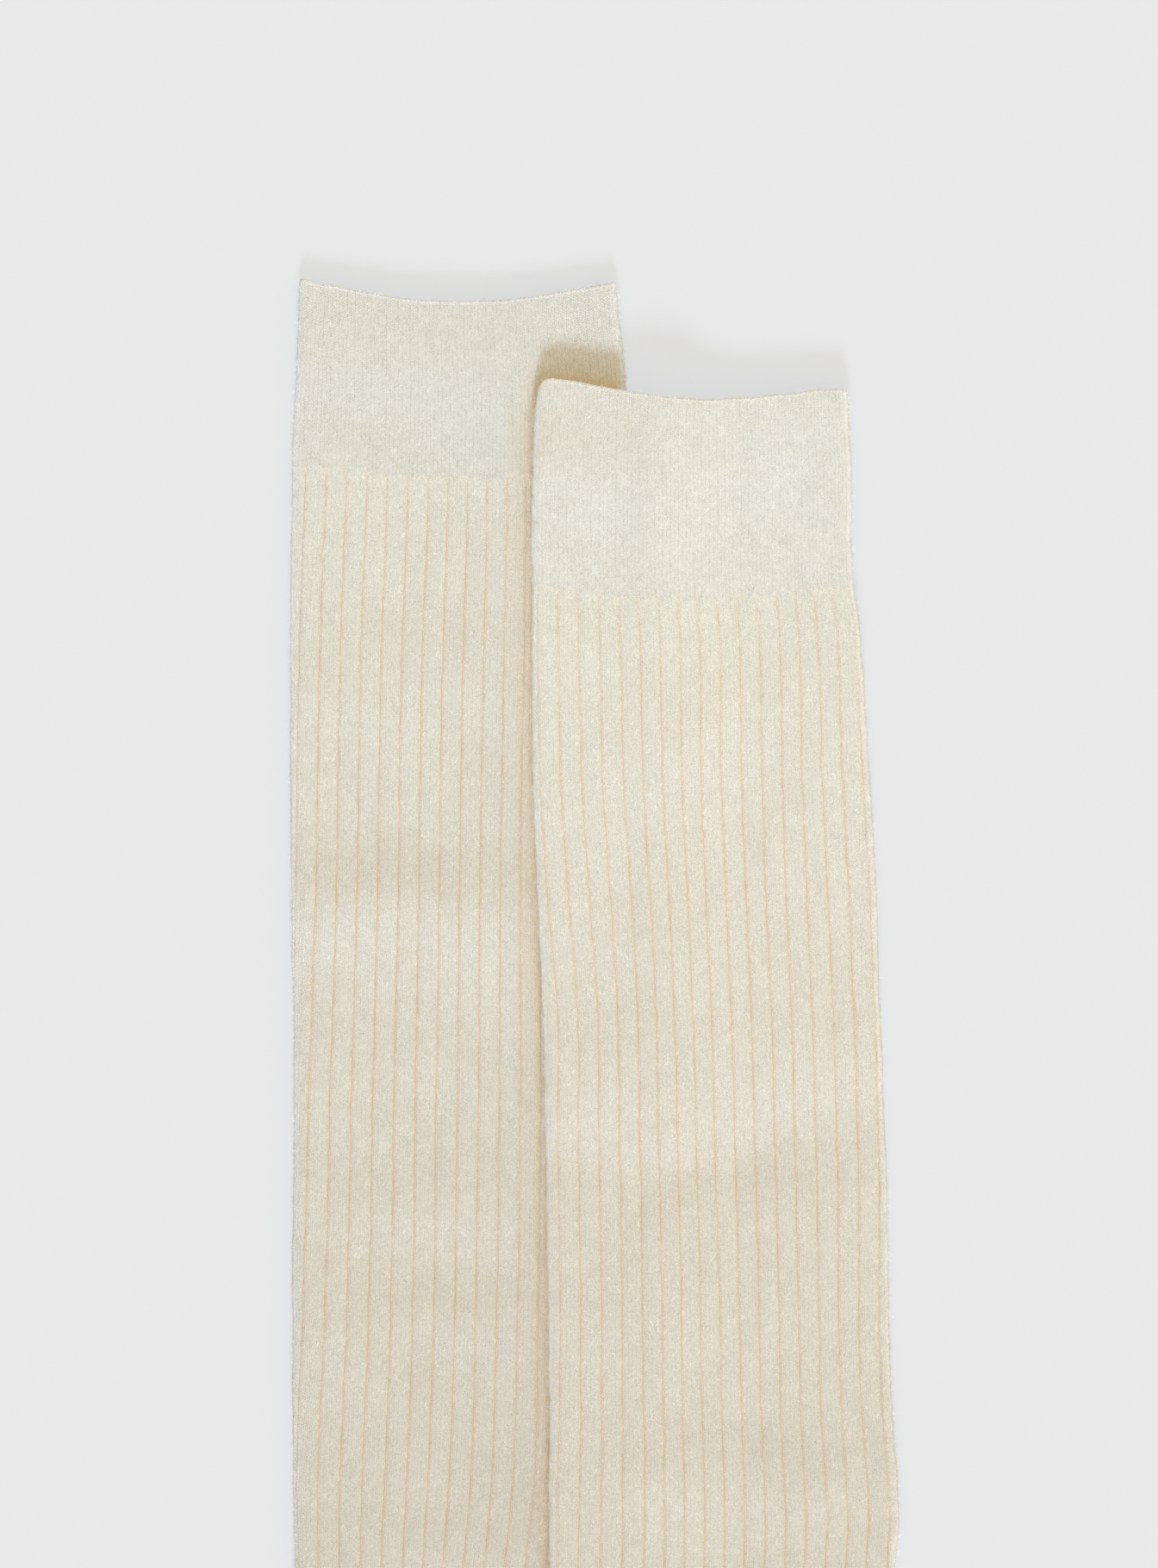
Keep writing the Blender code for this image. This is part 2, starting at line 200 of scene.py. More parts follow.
def smooth(table, at, where):
    """Values of a table at positions `where`, on a curve through its rows at positions `at`."""
    table, at, where = np.asarray(table, float), np.asarray(at, float), np.asarray(where, float)
    steps = np.diff(table, axis=0) / np.diff(at)[:, None]
    slope = np.empty_like(table)
    slope[0], slope[-1] = steps[0], steps[-1]
    gap = np.diff(at)[:, None]
    slope[1:-1] = (steps[:-1] * gap[1:] + steps[1:] * gap[:-1]) / (gap[:-1] + gap[1:])
    i = np.clip(np.searchsorted(at, where, side="right") - 1, 0, len(at) - 2)
    h = (at[i + 1] - at[i])[:, None]
    s = ((where - at[i]) / (at[i + 1] - at[i]))[:, None]
    return (
        table[i] * (2 * s**3 - 3 * s**2 + 1)
        + slope[i] * h * (s**3 - 2 * s**2 + s)
        + table[i + 1] * (3 * s**2 - 2 * s**3)
        + slope[i + 1] * h * (s**3 - s**2)
    )


def step(low, high, x):
    t = np.clip((np.asarray(x, float) - low) / (high - low), 0, 1)
    return t * t * (3 - 2 * t)


def leg_rows(which):
    rows = []
    for r in LOWER_LEG if which == "lower" else UPPER_LEG:
        tilt = MOUTH_TILT[which] * max(0.0, (r.level - CUFF_END[which]) / (118.0 - 57.5))
        rows.append((r.left, r.level, (r.left + r.right) / 2, r.level + tilt / 2, r.right, r.level + tilt, r.sag))
    ox, oy = ANKLE[which]
    for n, r in enumerate(ANKLE_ROWS):
        rows.append(
            (ox + r.back_x, oy + r.back_y, ox + r.mid_x, oy + r.mid_y, ox + r.front_x, oy + r.front_y, 1.2 * (3 - n) / 3)
        )
    return np.array(rows)


def foot_rows(which, table):
    start = heel_point(which)
    rows = []
    for r in table:
        sole = start + TOE_AXIS * r.sole_at - TOE_UP * r.sole_out
        mid = start + TOE_AXIS * r.mid_at
        top = start + TOE_AXIS * r.top_at + TOE_UP * r.top_out
        if r is FOOT_ROWS[0]:
            top = np.array(ANKLE[which]) + (ANKLE_ROWS[-1].front_x, ANKLE_ROWS[-1].front_y)
        rows.append((*sole, *mid, *top, 0.0))
    return np.array(rows)


def heel_point(which):
    return np.array(ANKLE[which]) + (ANKLE_ROWS[-1].mid_x, ANKLE_ROWS[-1].mid_y)


def heel_plan(which, share):
    table = [(radians(r.turn), r.reach) for r in HEEL_ROWS]
    at = [r.turn for r in HEEL_ROWS]
    values = smooth(table, at, at[0] + np.asarray(share) * (at[-1] - at[0]))
    return heel_point(which) + np.stack([np.cos(values[:, 0]), np.sin(values[:, 0])], 1) * values[:, 1:2]


def positions(rows):
    run = np.diff(rows[:, :6], axis=0).reshape(-1, 3, 2)
    return np.concatenate([[0.0], np.cumsum(np.linalg.norm(run, axis=2).mean(1))])


def outline_of(which):
    leg = leg_rows(which)
    at = positions(leg)
    leg = smooth(leg, at, np.linspace(0, at[-1], 70))
    foot = foot_rows(which, FOOT_ROWS + TOE_ROWS[1:])
    at = positions(foot)
    foot = smooth(foot, at, np.linspace(0, at[-1], 40))
    heel = heel_plan(which, np.linspace(0, 1, 15))
    back = np.concatenate([leg[:, 0:2], heel, foot[:, 0:2]])
    front = np.concatenate([leg[:, 4:6], foot[:, 4:6]])
    return np.concatenate([back, front[::-1]])


def beside(points, outline):
    """Distance of each plan point from the outline, negative inside it."""
    a, b = outline, np.roll(outline, -1, axis=0)
    keep = np.linalg.norm(b - a, axis=1) > 1e-6
    a, b = a[keep], b[keep]
    run = b - a
    out = np.empty(len(points))
    for n in range(0, len(points), 4000):
        p = points[n : n + 4000, None, :]
        along = np.clip(((p - a) * run).sum(2) / (run**2).sum(1), 0, 1)
        near = np.linalg.norm(a + run * along[..., None] - p, axis=2).min(1)
        cross = (a[:, 1] > p[..., 1]) != (b[:, 1] > p[..., 1])
        with np.errstate(divide="ignore", invalid="ignore"):
            at = a[:, 0] + (p[..., 1] - a[:, 1]) / (b[:, 1] - a[:, 1]) * (b[:, 0] - a[:, 0])
        inside = (cross & (at > p[..., 0])).sum(1) % 2 == 1
        out[n : n + 4000] = np.where(inside, -near, near)
    return out


def waves(seed, count, low, high):
    """A soft uneven run along one length, about 0.7 high: a sum of waves with lengths from low to high."""
    rng = np.random.default_rng(seed)
    length = low * (high / low) ** rng.random(count)
    phase = rng.random(count) * 2 * pi
    size = rng.normal(size=count)
    size /= np.sqrt((size**2).sum())

    def at(x):
        x = np.asarray(x, float)[..., None]
        return (np.sin(x / length * 2 * pi + phase) * size).sum(-1)

    return at


def creases(table, x, y):
    """Height of the listed creases at plan points."""
    total = np.zeros_like(x)
    for n, c in enumerate(table):
        ux, uy = cos(radians(c.turn)), sin(radians(c.turn))
        along = (x - c.x) * ux + (y - c.y) * uy
        across = (y - c.y) * ux - (x - c.x) * uy
        across = across + 1.6 * np.sin(along / (c.length * 0.45) + n * 1.7)  # no crease runs straight
        width = c.width * (1 + 0.18 * np.sin(along / (c.length * 0.3) + n))
        total += c.height * np.exp(-0.5 * (across / width) ** 2) * np.exp(-((np.abs(along) / c.length) ** 3))
    return total


def swell(seed, x, y):
    """Slack of the upper side between the folds: soft hills a few centimetres across."""
    rng = np.random.default_rng(seed)
    total = np.zeros_like(x)
    for _ in range(14):
        length = 22 * 3.2 ** rng.random()
        turn = rng.random() * 2 * pi
        size = 0.025 + 0.0015 * length * rng.random()
        total += size * np.sin((x * cos(turn) * 1.3 + y * sin(turn)) / length * 2 * pi + rng.random() * 2 * pi)
    return total


def section(rows, thick, shares, depth, which):
    """Points of sections of the flattened tube. A share runs from the back fold (0) over the top to the front fold (1)
    and on underneath (to 2); depth is how far inside the outer surface the point lies. Gives plan, height above what
    the sock lies on, and how much the point belongs to the upper side."""
    rows = rows[:, None, :]
    r = np.asarray(thick, float)
    r = (r[:, None] if r.ndim == 1 else r) / 2
    s = np.mod(shares, 2.0)
    under = s > 1
    s = np.where(under, 2 - s, s)
    rear = s <= 0.5
    to_back, to_front = rows[..., 0:2] - rows[..., 2:4], rows[..., 4:6] - rows[..., 2:4]
    back_len, front_len = np.linalg.norm(to_back, axis=2), np.linalg.norm(to_front, axis=2)
    length = np.where(rear, back_len, front_len)
    f = np.where(rear, s, 1 - s) * 2
    arc = f * (length - r + pi * r / 2)
    a = np.clip(arc / np.maximum(r, 1e-6), 0, pi / 2)
    out = r - (r - depth) * np.cos(a) + np.maximum(arc - pi * r / 2, 0)
    rise = (r - depth) * np.sin(a)
    way = np.where(
        rear[..., None], -to_back / np.maximum(back_len, 1e-6)[..., None], -to_front / np.maximum(front_len, 1e-6)[..., None]
    )
    base = np.where(rear[..., None], rows[..., 0:2], rows[..., 4:6])
    plan = base + way * out[..., None]
    share = np.where(rear, 0.5 * out / length, 1 - 0.5 * out / length)
    plan[..., 1] -= rows[..., 6] * np.sin(pi * np.clip(share, 0, 1)) ** SAG_POWER[which]
    turn = np.sin(a) * np.where(under, -1, 1)
    return plan, np.where(under, -rise, rise), 0.5 + 0.5 * turn, share


def channel_shares(which):
    """For each level of the channels' table, the numbers and shares of its ribs, once round the tube."""
    table = LOWER_CHANNELS if which == "lower" else UPPER_CHANNELS
    rows = leg_rows(which)[: len(LOWER_LEG if which == "lower" else UPPER_LEG)]
    r = LEG_THICK / 2
    result = []
    for level, xs in table.items():
        left = np.interp(-level, -rows[:, 1], rows[:, 0])
        right = np.interp(-level, -rows[:, 1], rows[:, 4])
        whole = (right - left) / 2 - r + pi * r / 2
        numbers, xs = list(CHANNELS[which]), list(xs)
        if which == "lower":  # the last ones lie under the other sock
            numbers.append(16)
            xs.append(xs[-1] + 4 * (xs[-1] - xs[0]) / 10)
        shares = []
        for x in xs:
            u = min(x - left, right - x)
            arc = r * np.arccos(np.clip(1 - u / r, -1, 1)) if u < r else pi * r / 2 + u - r
            share = 0.5 * arc / whole
            shares.append(share if x - left < right - x else 1 - share)
        numbers.append(numbers[0] + RIBS)
        shares.append(shares[0] + 2)
        result.append((level, numbers, shares))
    return result


def share_of(which, levels, columns):
    """Share of each column of the knit at each level of the back fold: (levels, columns)."""
    table = channel_shares(which)
    spread = []
    for _, numbers, shares in table:
        numbers, shares = np.array(numbers, float), np.array(shares)
        wide_n = np.concatenate([numbers[:-1] - RIBS, numbers, numbers[1:] + RIBS])
        wide_s = np.concatenate([shares[:-1] - 2, shares, shares[1:] + 2])
        spread.append(np.interp(columns, wide_n, wide_s))
    spread.append(0.5 + (columns - MIDDLE_COLUMN[which]) / (RIBS / 2))
    at = [-level for level, _, _ in table] + [-EVEN_FROM[which]]
    spread = np.array(spread)
    where = np.clip(-np.asarray(levels), at[0], at[-1])
    shares = smooth(spread, at, where)
    # each channel wanders a little by itself
    wander = np.zeros_like(shares)
    fade = step(EVEN_FROM[which] - 2, EVEN_FROM[which] + 30, levels)
    paths = np.array(
        [waves(100 * (which == "upper") + n, 7, 16, 130)(np.asarray(levels)) * fade for n in range(RIBS + 1)]
    )
    paths[RIBS] = paths[0]
    n = np.clip(np.floor(columns - 1).astype(int), 0, RIBS - 1)
    mix = columns - 1 - n
    wander = paths[n].T * (1 - mix) + paths[n + 1].T * mix
    return shares + wander * 0.0007


def wobble(which, rows, at):
    """Small unevenness of the two folds, in plan."""
    seed = 7 if which == "lower" else 8
    rows = rows.copy()
    rows[:, 0] += 0.10 * waves(seed, 12, 3.5, 20)(at) + 0.10 * waves(seed + 10, 6, 25, 80)(at)
    rows[:, 4] += 0.10 * waves(seed + 20, 12, 3.5, 20)(at) + 0.10 * waves(seed + 30, 6, 25, 80)(at)
    return rows


LOWER_OUTLINE = outline_of("lower")


def settle(which, plan, rise, thick, upper, share, mouth=None):
    """World points in metres from plan points: the folds flattened, the upper side swollen and creased, and the upper
    sock laid over the lower one. A fourth number is how far each point is from the fold, in millimetres."""
    centre = thick / 2
    z = rise + centre
    folds = np.sin(pi * np.clip(share, 0, 1))
    z = z * (0.86 + 0.17 * folds**0.6)
    loose = 1.0
    if mouth is not None:  # the lower mouth is pressed flat, and the upper one stands open where nothing is under it
        gape = -0.28 if which == "lower" else -0.25 + 0.41 * step(0.25, 0.48, share)
        z = z * (1 + mouth * gape)
        loose = 1 - 0.7 * mouth
    x, y = plan[..., 0], plan[..., 1]
    calm = folds**0.5
    low_crease = creases(LOWER_CREASES, x, y) * step(-300, -270, y)
    if which == "lower":
        own = (low_crease + swell(3, x, y) * calm) * loose
        # under the other sock the slack is pressed out
        hidden = step(-12.0, -4.0, x - np.interp(-y, [r.level * -1 for r in UPPER_LEG], [r.left for r in UPPER_LEG]) - 4)
        own = np.where(own > 0, own * (1 - hidden * 0.5), own * (1 - hidden * 0.3))
        z = z + own * upper
        base = 0.0
    else:
        away = beside(np.stack([x.ravel(), y.ravel()], 1), LOWER_OUTLINE).reshape(x.shape)
        on = 1 - step(DRAPE_START, DRAPE_END, away)
        lower_top = np.maximum(low_crease, 0) + np.maximum(swell(3, x, y), 0)
        inner = step(2.0, -10.0, away)
        base = (LEG_THICK + LAY_GAP) * on + lower_top * on * inner * 0.75
        own = (creases(UPPER_CREASES, x, y) + swell(5, x, y) * calm) * loose
        z = z + own * upper
    z = np.maximum(z, 0.02)
    fold = 96 * np.minimum(share, 1 - share) / MM
    return np.stack(np.broadcast_arrays(x + PLAN_SHIFT[0], y + PLAN_SHIFT[1], z + base, fold), -1) * MM


# ---- meshes ----------------------------------------------------------------------------------------------------------
INSIDE = 50.0  # stands for the distance to the fold on the cloth's inner side


class Knit:
    """Gathers grids of points and faces, with the knit's own coordinates: columns of stitches and rows of stitches."""

    def __init__(self):
        self.points, self.faces, self.uvs, self.rims, self.count = [], [], [], [], 0

    def grid(self, points, columns, courses, closed, inside=False, last=None):
        """points is (rows, columns, 4); columns are wale numbers, courses (rows,) or (rows, columns)."""
        rows, cols = points.shape[:2]
        if inside:
            points[..., 3] = INSIDE
        index = np.arange(rows * cols).reshape(rows, cols) + self.count
        self.points.append(points.reshape(-1, 4))
        self.count += rows * cols
        columns = np.broadcast_to(columns, (rows, cols))
        courses = np.asarray(courses, float)
        courses = np.broadcast_to(courses[:, None] if courses.ndim == 1 else courses, (rows, cols))
        i, c, v = index, columns, courses
        if closed:
            i = np.concatenate([i, i[:, :1]], 1)
            c = np.concatenate([c, c[:, :1] + last], 1)
            v = np.concatenate([v, v[:, :1]], 1)
        quads = np.stack([i[:-1, :-1], i[1:, :-1], i[1:, 1:], i[:-1, 1:]], -1).reshape(-1, 4)
        u = np.stack([c[:-1, :-1], c[1:, :-1], c[1:, 1:], c[:-1, 1:]], -1).reshape(-1, 4)
        w = np.stack([v[:-1, :-1], v[1:, :-1], v[1:, 1:], v[:-1, 1:]], -1).reshape(-1, 4)
        uv = np.stack([u, w], -1)
        if inside:
            quads, uv = quads[:, ::-1], uv[:, ::-1]
        self.faces.append(quads)
        self.uvs.append(uv)
        self.rims.append(np.zeros(len(quads), bool))
        return index

    def rim(self, outer, inner, columns, course, closed, last=None, flip=False):
        """Joins a row of the outer surface to one of the inner."""
        columns = np.asarray(columns, float)
        if closed:
            outer, inner = np.append(outer, outer[0]), np.append(inner, inner[0])
            columns = np.append(columns, columns[0] + last)
        quads = np.stack([outer[:-1], outer[1:], inner[1:], inner[:-1]], -1)
        course = np.broadcast_to(course, len(columns))
        u = np.stack([columns[:-1], columns[1:], columns[1:], columns[:-1]], -1)
        v = np.stack([course[:-1], course[1:], course[1:] + 1.5, course[:-1] + 1.5], -1)
        uv = np.stack([u, v], -1)
        if flip:
            quads, uv = quads[:, ::-1], uv[:, ::-1]
        self.faces.append(quads)
        self.uvs.append(uv)
        self.rims.append(np.ones(len(quads), bool))

    def build(self, name, material):
        points = np.concatenate(self.points)
        faces = np.concatenate(self.faces)
        uvs = np.concatenate(self.uvs)
        rims = np.concatenate(self.rims)
        mesh = bpy.data.meshes.new(name)
        mesh.from_pydata(points[:, :3].tolist(), [], faces.tolist())
        mesh.attributes.new("fold", "FLOAT", "POINT").data.foreach_set("value", points[:, 3])
        layer = mesh.uv_layers.new(name="knit")
        layer.data.foreach_set("uv", uvs.reshape(-1))
        mesh.attributes.new("rim", "BOOLEAN", "FACE").data.foreach_set("value", rims)
        work = bmesh.new()
        work.from_mesh(mesh)
        bmesh.ops.remove_doubles(work, verts=work.verts, dist=2e-6)
        bmesh.ops.dissolve_degenerate(work, edges=work.edges, dist=1e-7)
        loose = [v for v in work.verts if not v.link_faces]
        if loose:
            bmesh.ops.delete(work, geom=loose, context="VERTS")
        mark = work.faces.layers.bool.get("rim")
        for edge in work.edges:
            sides = {bool(f[mark]) for f in edge.link_faces}
            if len(sides) == 2:
                edge.smooth = False
        if work.calc_volume(signed=True) < 0:
            bmesh.ops.reverse_faces(work, faces=work.faces)
        for face in work.faces:
            face.smooth = True
        open_edges = sum(1 for e in work.edges if len(e.link_faces) != 2)
        work.to_mesh(mesh)
        work.free()
        mesh.attributes.remove(mesh.attributes["rim"])
        mesh.materials.append(material)
        obj = bpy.data.objects.new(name, mesh)
        bpy.context.scene.collection.objects.link(obj)
        print(name, len(mesh.polygons), "faces", open_edges, "open edges")
        return obj


COLUMNS_LEG = np.concatenate([[n + 1 + p for p, _ in RIB_PROFILE] for n in range(RIBS)])
DEPTH_LEG = np.tile([d for _, d in RIB_PROFILE], RIBS)


def course_at(which, where):
    """Rows of stitches, counted up from the line where cuff and ribs meet."""
    rows = leg_rows(which)
    return (cuff_end_at(which, rows, positions(rows)) - np.asarray(where)) / COURSE


def cuff_end_at(which, rows, at):
    return at[[n for n, r in enumerate(rows) if r[1] == CUFF_END[which]][0]] - CUFF_SHORT[which]


def mouth_at(which, below):
    """How much the mouth's own form still counts, from 1 at the mouth; below is in mm from where the ribs begin."""
    if which == "lower":
        return np.where(below < 0, 0.65 - 0.35 * below / 53.0, 0.65 * (1 - step(0.0, 70.0, below)))
    return np.where(below < 0, 0.2 + 0.8 * (1 - step(-60.0, -30.0, below)), 0.2 * (1 - step(0.0, 60.0, below)))


def make_cuff(which, material):
    rows = leg_rows(which)
    at = positions(rows)
    end = cuff_end_at(which, rows, at)
    columns = 1 + np.arange(RIBS * 10) / 10
    knit = Knit()

    def thick_at(where):
        return CUFF_THICK + (LEG_THICK - CUFF_THICK) * step(end - 36, end, where)

    def wall_at(where):
        return MOUTH_WALL + (CUFF_WALL - MOUTH_WALL) * step(0, 9, where) + (LEG_WALL - CUFF_WALL) * step(end - 9, end, where)

    def lay(where, depth):
        where, depth = np.asarray(where, float), np.asarray(depth, float)
        base = wobble(which, smooth(rows, at, where), where)
        shares = share_of(which, np.full(len(where), CUFF_END[which]), columns)
        thick = thick_at(where)
        plan, rise, upper, share = section(base, thick, shares, depth[:, None], which)
        # the mouth's corners are rounded, and its edge is a little uneven from stitch to stitch
        near = 1 - step(0.0, 9.0, where)
        inset_l = share * np.linalg.norm(base[:, 4:6] - base[:, 0:2], axis=1)[:, None]
        inset_r = (1 - share) * np.linalg.norm(base[:, 4:6] - base[:, 0:2], axis=1)[:, None]
        for inset, radius in ((inset_l, MOUTH_CORNER[which][0]), (inset_r, MOUTH_CORNER[which][1])):
            short = np.clip(radius - inset, 0, radius)
            plan[..., 1] -= near[:, None] * (radius - np.sqrt(radius**2 - short**2))
        edge = np.exp(-where / 2.0)[:, None]
        seed = 40 if which == "lower" else 50
        plan[..., 1] += edge * (
            0.10 * waves(seed, 9, 1.1, 3.0)(columns * 6) + 0.16 * waves(seed + 1, 6, 9, 40)(columns * 6)
        )
        mouth = mouth_at(which, where - end)[:, None]
        points = settle(which, plan, rise, thick[:, None], upper, share, mouth)
        # the fold distance goes below zero on the turned edge, so the material paints it pale there as on the folds:
        # partly its pale fuzz, partly painted light on the roll's shaded far side
        points[..., 3] = np.minimum(points[..., 3], np.maximum(where, 0)[:, None] * 3.0 - 1.5)
        points[outer_count:, :, 3] = INSIDE
        return points

    wall = MOUTH_WALL
    turn = np.linspace(0, pi, 9)
    rim_where = wall / 2 * (1 - np.sin(turn))
    rim_depth = wall / 2 * (1 - np.cos(turn))
    outer_where = np.concatenate([np.linspace(end, wall / 2 + 1.0, 46), [wall / 2 + 0.5]])
    inner_where = np.concatenate([[wall / 2 + 0.5], np.linspace(wall / 2 + 2.5, end, 20)])
    where = np.concatenate([outer_where, rim_where, inner_where])
    depth = np.concatenate([0 * outer_where, rim_depth, wall_at(inner_where)])
    outer_count = len(outer_where) + 6
    # the top edge turns over a little higher: a rolled welt
    points = lay(where, depth)
    run = np.concatenate([outer_where, rim_where[0] - np.arange(9) * wall * pi / 16, -inner_where])
    index = knit.grid(points, columns * WALES, course_at(which, run), True, last=RIBS * WALES)
    knit.rim(index[0], index[-1], columns * WALES, course_at(which, end), True, last=RIBS * WALES, flip=True)
    return knit.build(f"{which}_cuff_knit", material)


def make_leg(which, material):
    rows = leg_rows(which)
    at = positions(rows)
    start = cuff_end_at(which, rows, at)
    foot = foot_rows(which, FOOT_ROWS)
    foot_at = positions(foot)
    wales = COLUMNS_LEG * WALES
    last = RIBS * WALES
    even = 0.5 + (COLUMNS_LEG - MIDDLE_COLUMN[which]) / (RIBS / 2)
    rear = np.mod(even + 0.5, 2.0) <= 1.0 + 1e-9  # columns of the half that the heel interrupts
    first = int(np.argmin(np.abs(even - 0.5)))
    second = int(np.argmin(np.abs(even - 1.5)))
    rng = np.random.default_rng(11 if which == "lower" else 12)
    begins = rng.normal(0.6, 0.6, RIBS + 1)
    begins[-1] = begins[0]
    numbers = np.rint(COLUMNS_LEG - 1).astype(int)
    pull = [waves(200 + 100 * (which == "upper") + n, 8, 5, 60) for n in range(RIBS + 1)]

    def lay(base, levels, thick, where, inner, soft, runs):
        shares = share_of(which, levels, COLUMNS_LEG) if levels is not None else np.broadcast_to(even, (len(base), len(even)))
        if inner:
            depth = np.full(shares.shape, LEG_WALL)
        else:
            grow = step(0.0, 1.0, (runs[:, None] - start - begins[numbers][None, :]) / 2.5)
            uneven = np.array([1 + 0.22 * p(runs) for p in pull]).T[:, numbers]
            depth = DEPTH_LEG[None, :] * grow * uneven * soft[:, None]
        plan, rise, upper, share = section(base, thick, shares, depth, which)
        return settle(which, plan, rise, thick[:, None], upper, share, mouth_at(which, runs - start)[:, None])

    knit = Knit()
    ends = {}
    for inner in (False, True):
        pitch = 6.4 if inner else 2.2
        where = np.linspace(start, at[-1], int((at[-1] - start) / pitch) + 1)
        base = smooth(rows, at, where)
        levels = base[:, 1].copy()
        calm = step(at[-1], at[-1] - 30, where)[:, None]
        base = base + (wobble(which, base, where) - base) * calm
        points = lay(base, levels, np.full(len(where), LEG_THICK), where, inner, np.ones(len(where)), where)
        top = knit.grid(points, wales, course_at(which, where), True, inside=inner, last=last)
        run = np.linspace(0, foot_at[-1] - 0.05, int(foot_at[-1] / pitch) + 1)
        base = smooth(foot, foot_at, run)
        thick = np.full(len(run), LEG_THICK)
        soft = step(foot_at[-1], foot_at[-1] - 6, run)
        points = lay(base, None, thick, run, inner, soft, run + at[-1])
        low = knit.grid(points, wales, course_at(which, run + at[-1]), True, inside=inner, last=last)
        ends[inner] = (top, low)
    (top, low), (top_in, low_in) = ends[False], ends[True]
    knit.rim(top[0], top_in[0], wales, course_at(which, start), True, last=last)
    knit.rim(low[-1], low_in[-1], wales, course_at(which, at[-1] + foot_at[-1]), True, last=last, flip=True)
    back = np.concatenate([np.arange(second, len(wales)), np.arange(0, first + 1)])
    back_wales = np.concatenate([wales[second:], wales[: first + 1] + last])
    knit.rim(top[-1][back], top_in[-1][back], back_wales, course_at(which, at[-1]), False, flip=True)
    knit.rim(low[0][back], low_in[0][back], back_wales, course_at(which, at[-1]), False)
    return knit.build(f"{which}_leg_knit", material)


def make_toe(which, material):
    rows = foot_rows(which, TOE_ROWS)
    at = positions(rows)
    # the same shares on both sides, so that the two meet point by point in the seam across the tip
    shares = np.arange(RIBS * 6) / (RIBS * 3)
    columns = MIDDLE_COLUMN[which] + (shares - 0.5) * (RIBS / 2)
    r, wall = LEG_THICK / 2, LEG_WALL
    run0 = 400.0
    knit = Knit()
    body = np.linspace(0.02, at[-1] - r, 30)[:-1]
    turn = np.linspace(0, pi / 2, 8)
    where = np.concatenate([body, at[-1] - r + r * np.sin(turn)])
    radius = np.concatenate([np.full(len(body), r), r * np.cos(turn)])

    def lay(where, radius, depth):
        base = smooth(rows, at, where)
        plan, rise, upper, share = section(base, 2 * radius, np.broadcast_to(shares, (len(where), len(columns))), depth[:, None], which)
        z_thick = np.full((len(where), 1), LEG_THICK)
        points = settle(which, plan, rise, z_thick, upper * step(at[-1], at[-1] - 12, where)[:, None], share)
        # the last row is the seam: each stitch of the top is joined to the one under it
        points[-1] = (points[-1] + points[-1][-np.arange(len(shares))]) / 2
        return points

    outer = knit.grid(lay(where, radius, 0 * where), columns * WALES, course_at(which, where + run0), True, last=RIBS * WALES)
    inner_r = r - wall
    body = np.linspace(0.02, at[-1] - r, 14)[:-1]
    turn = np.linspace(0, pi / 2, 5)
    where_in = np.concatenate([body, at[-1] - r + inner_r * np.sin(turn)])
    hollow = np.concatenate([np.full(len(body), inner_r), inner_r * np.cos(turn)])
    shell = np.sqrt(np.maximum(r * r - np.maximum(where_in - (at[-1] - r), 0) ** 2, 0))
    inner = knit.grid(
        lay(where_in, shell, shell - hollow), columns * WALES, course_at(which, where_in + run0), True, inside=True, last=RIBS * WALES
    )
    knit.rim(outer[0], inner[0], columns * WALES, course_at(which, run0), True, last=RIBS * WALES)
    return knit.build(f"{which}_toe_knit", material)


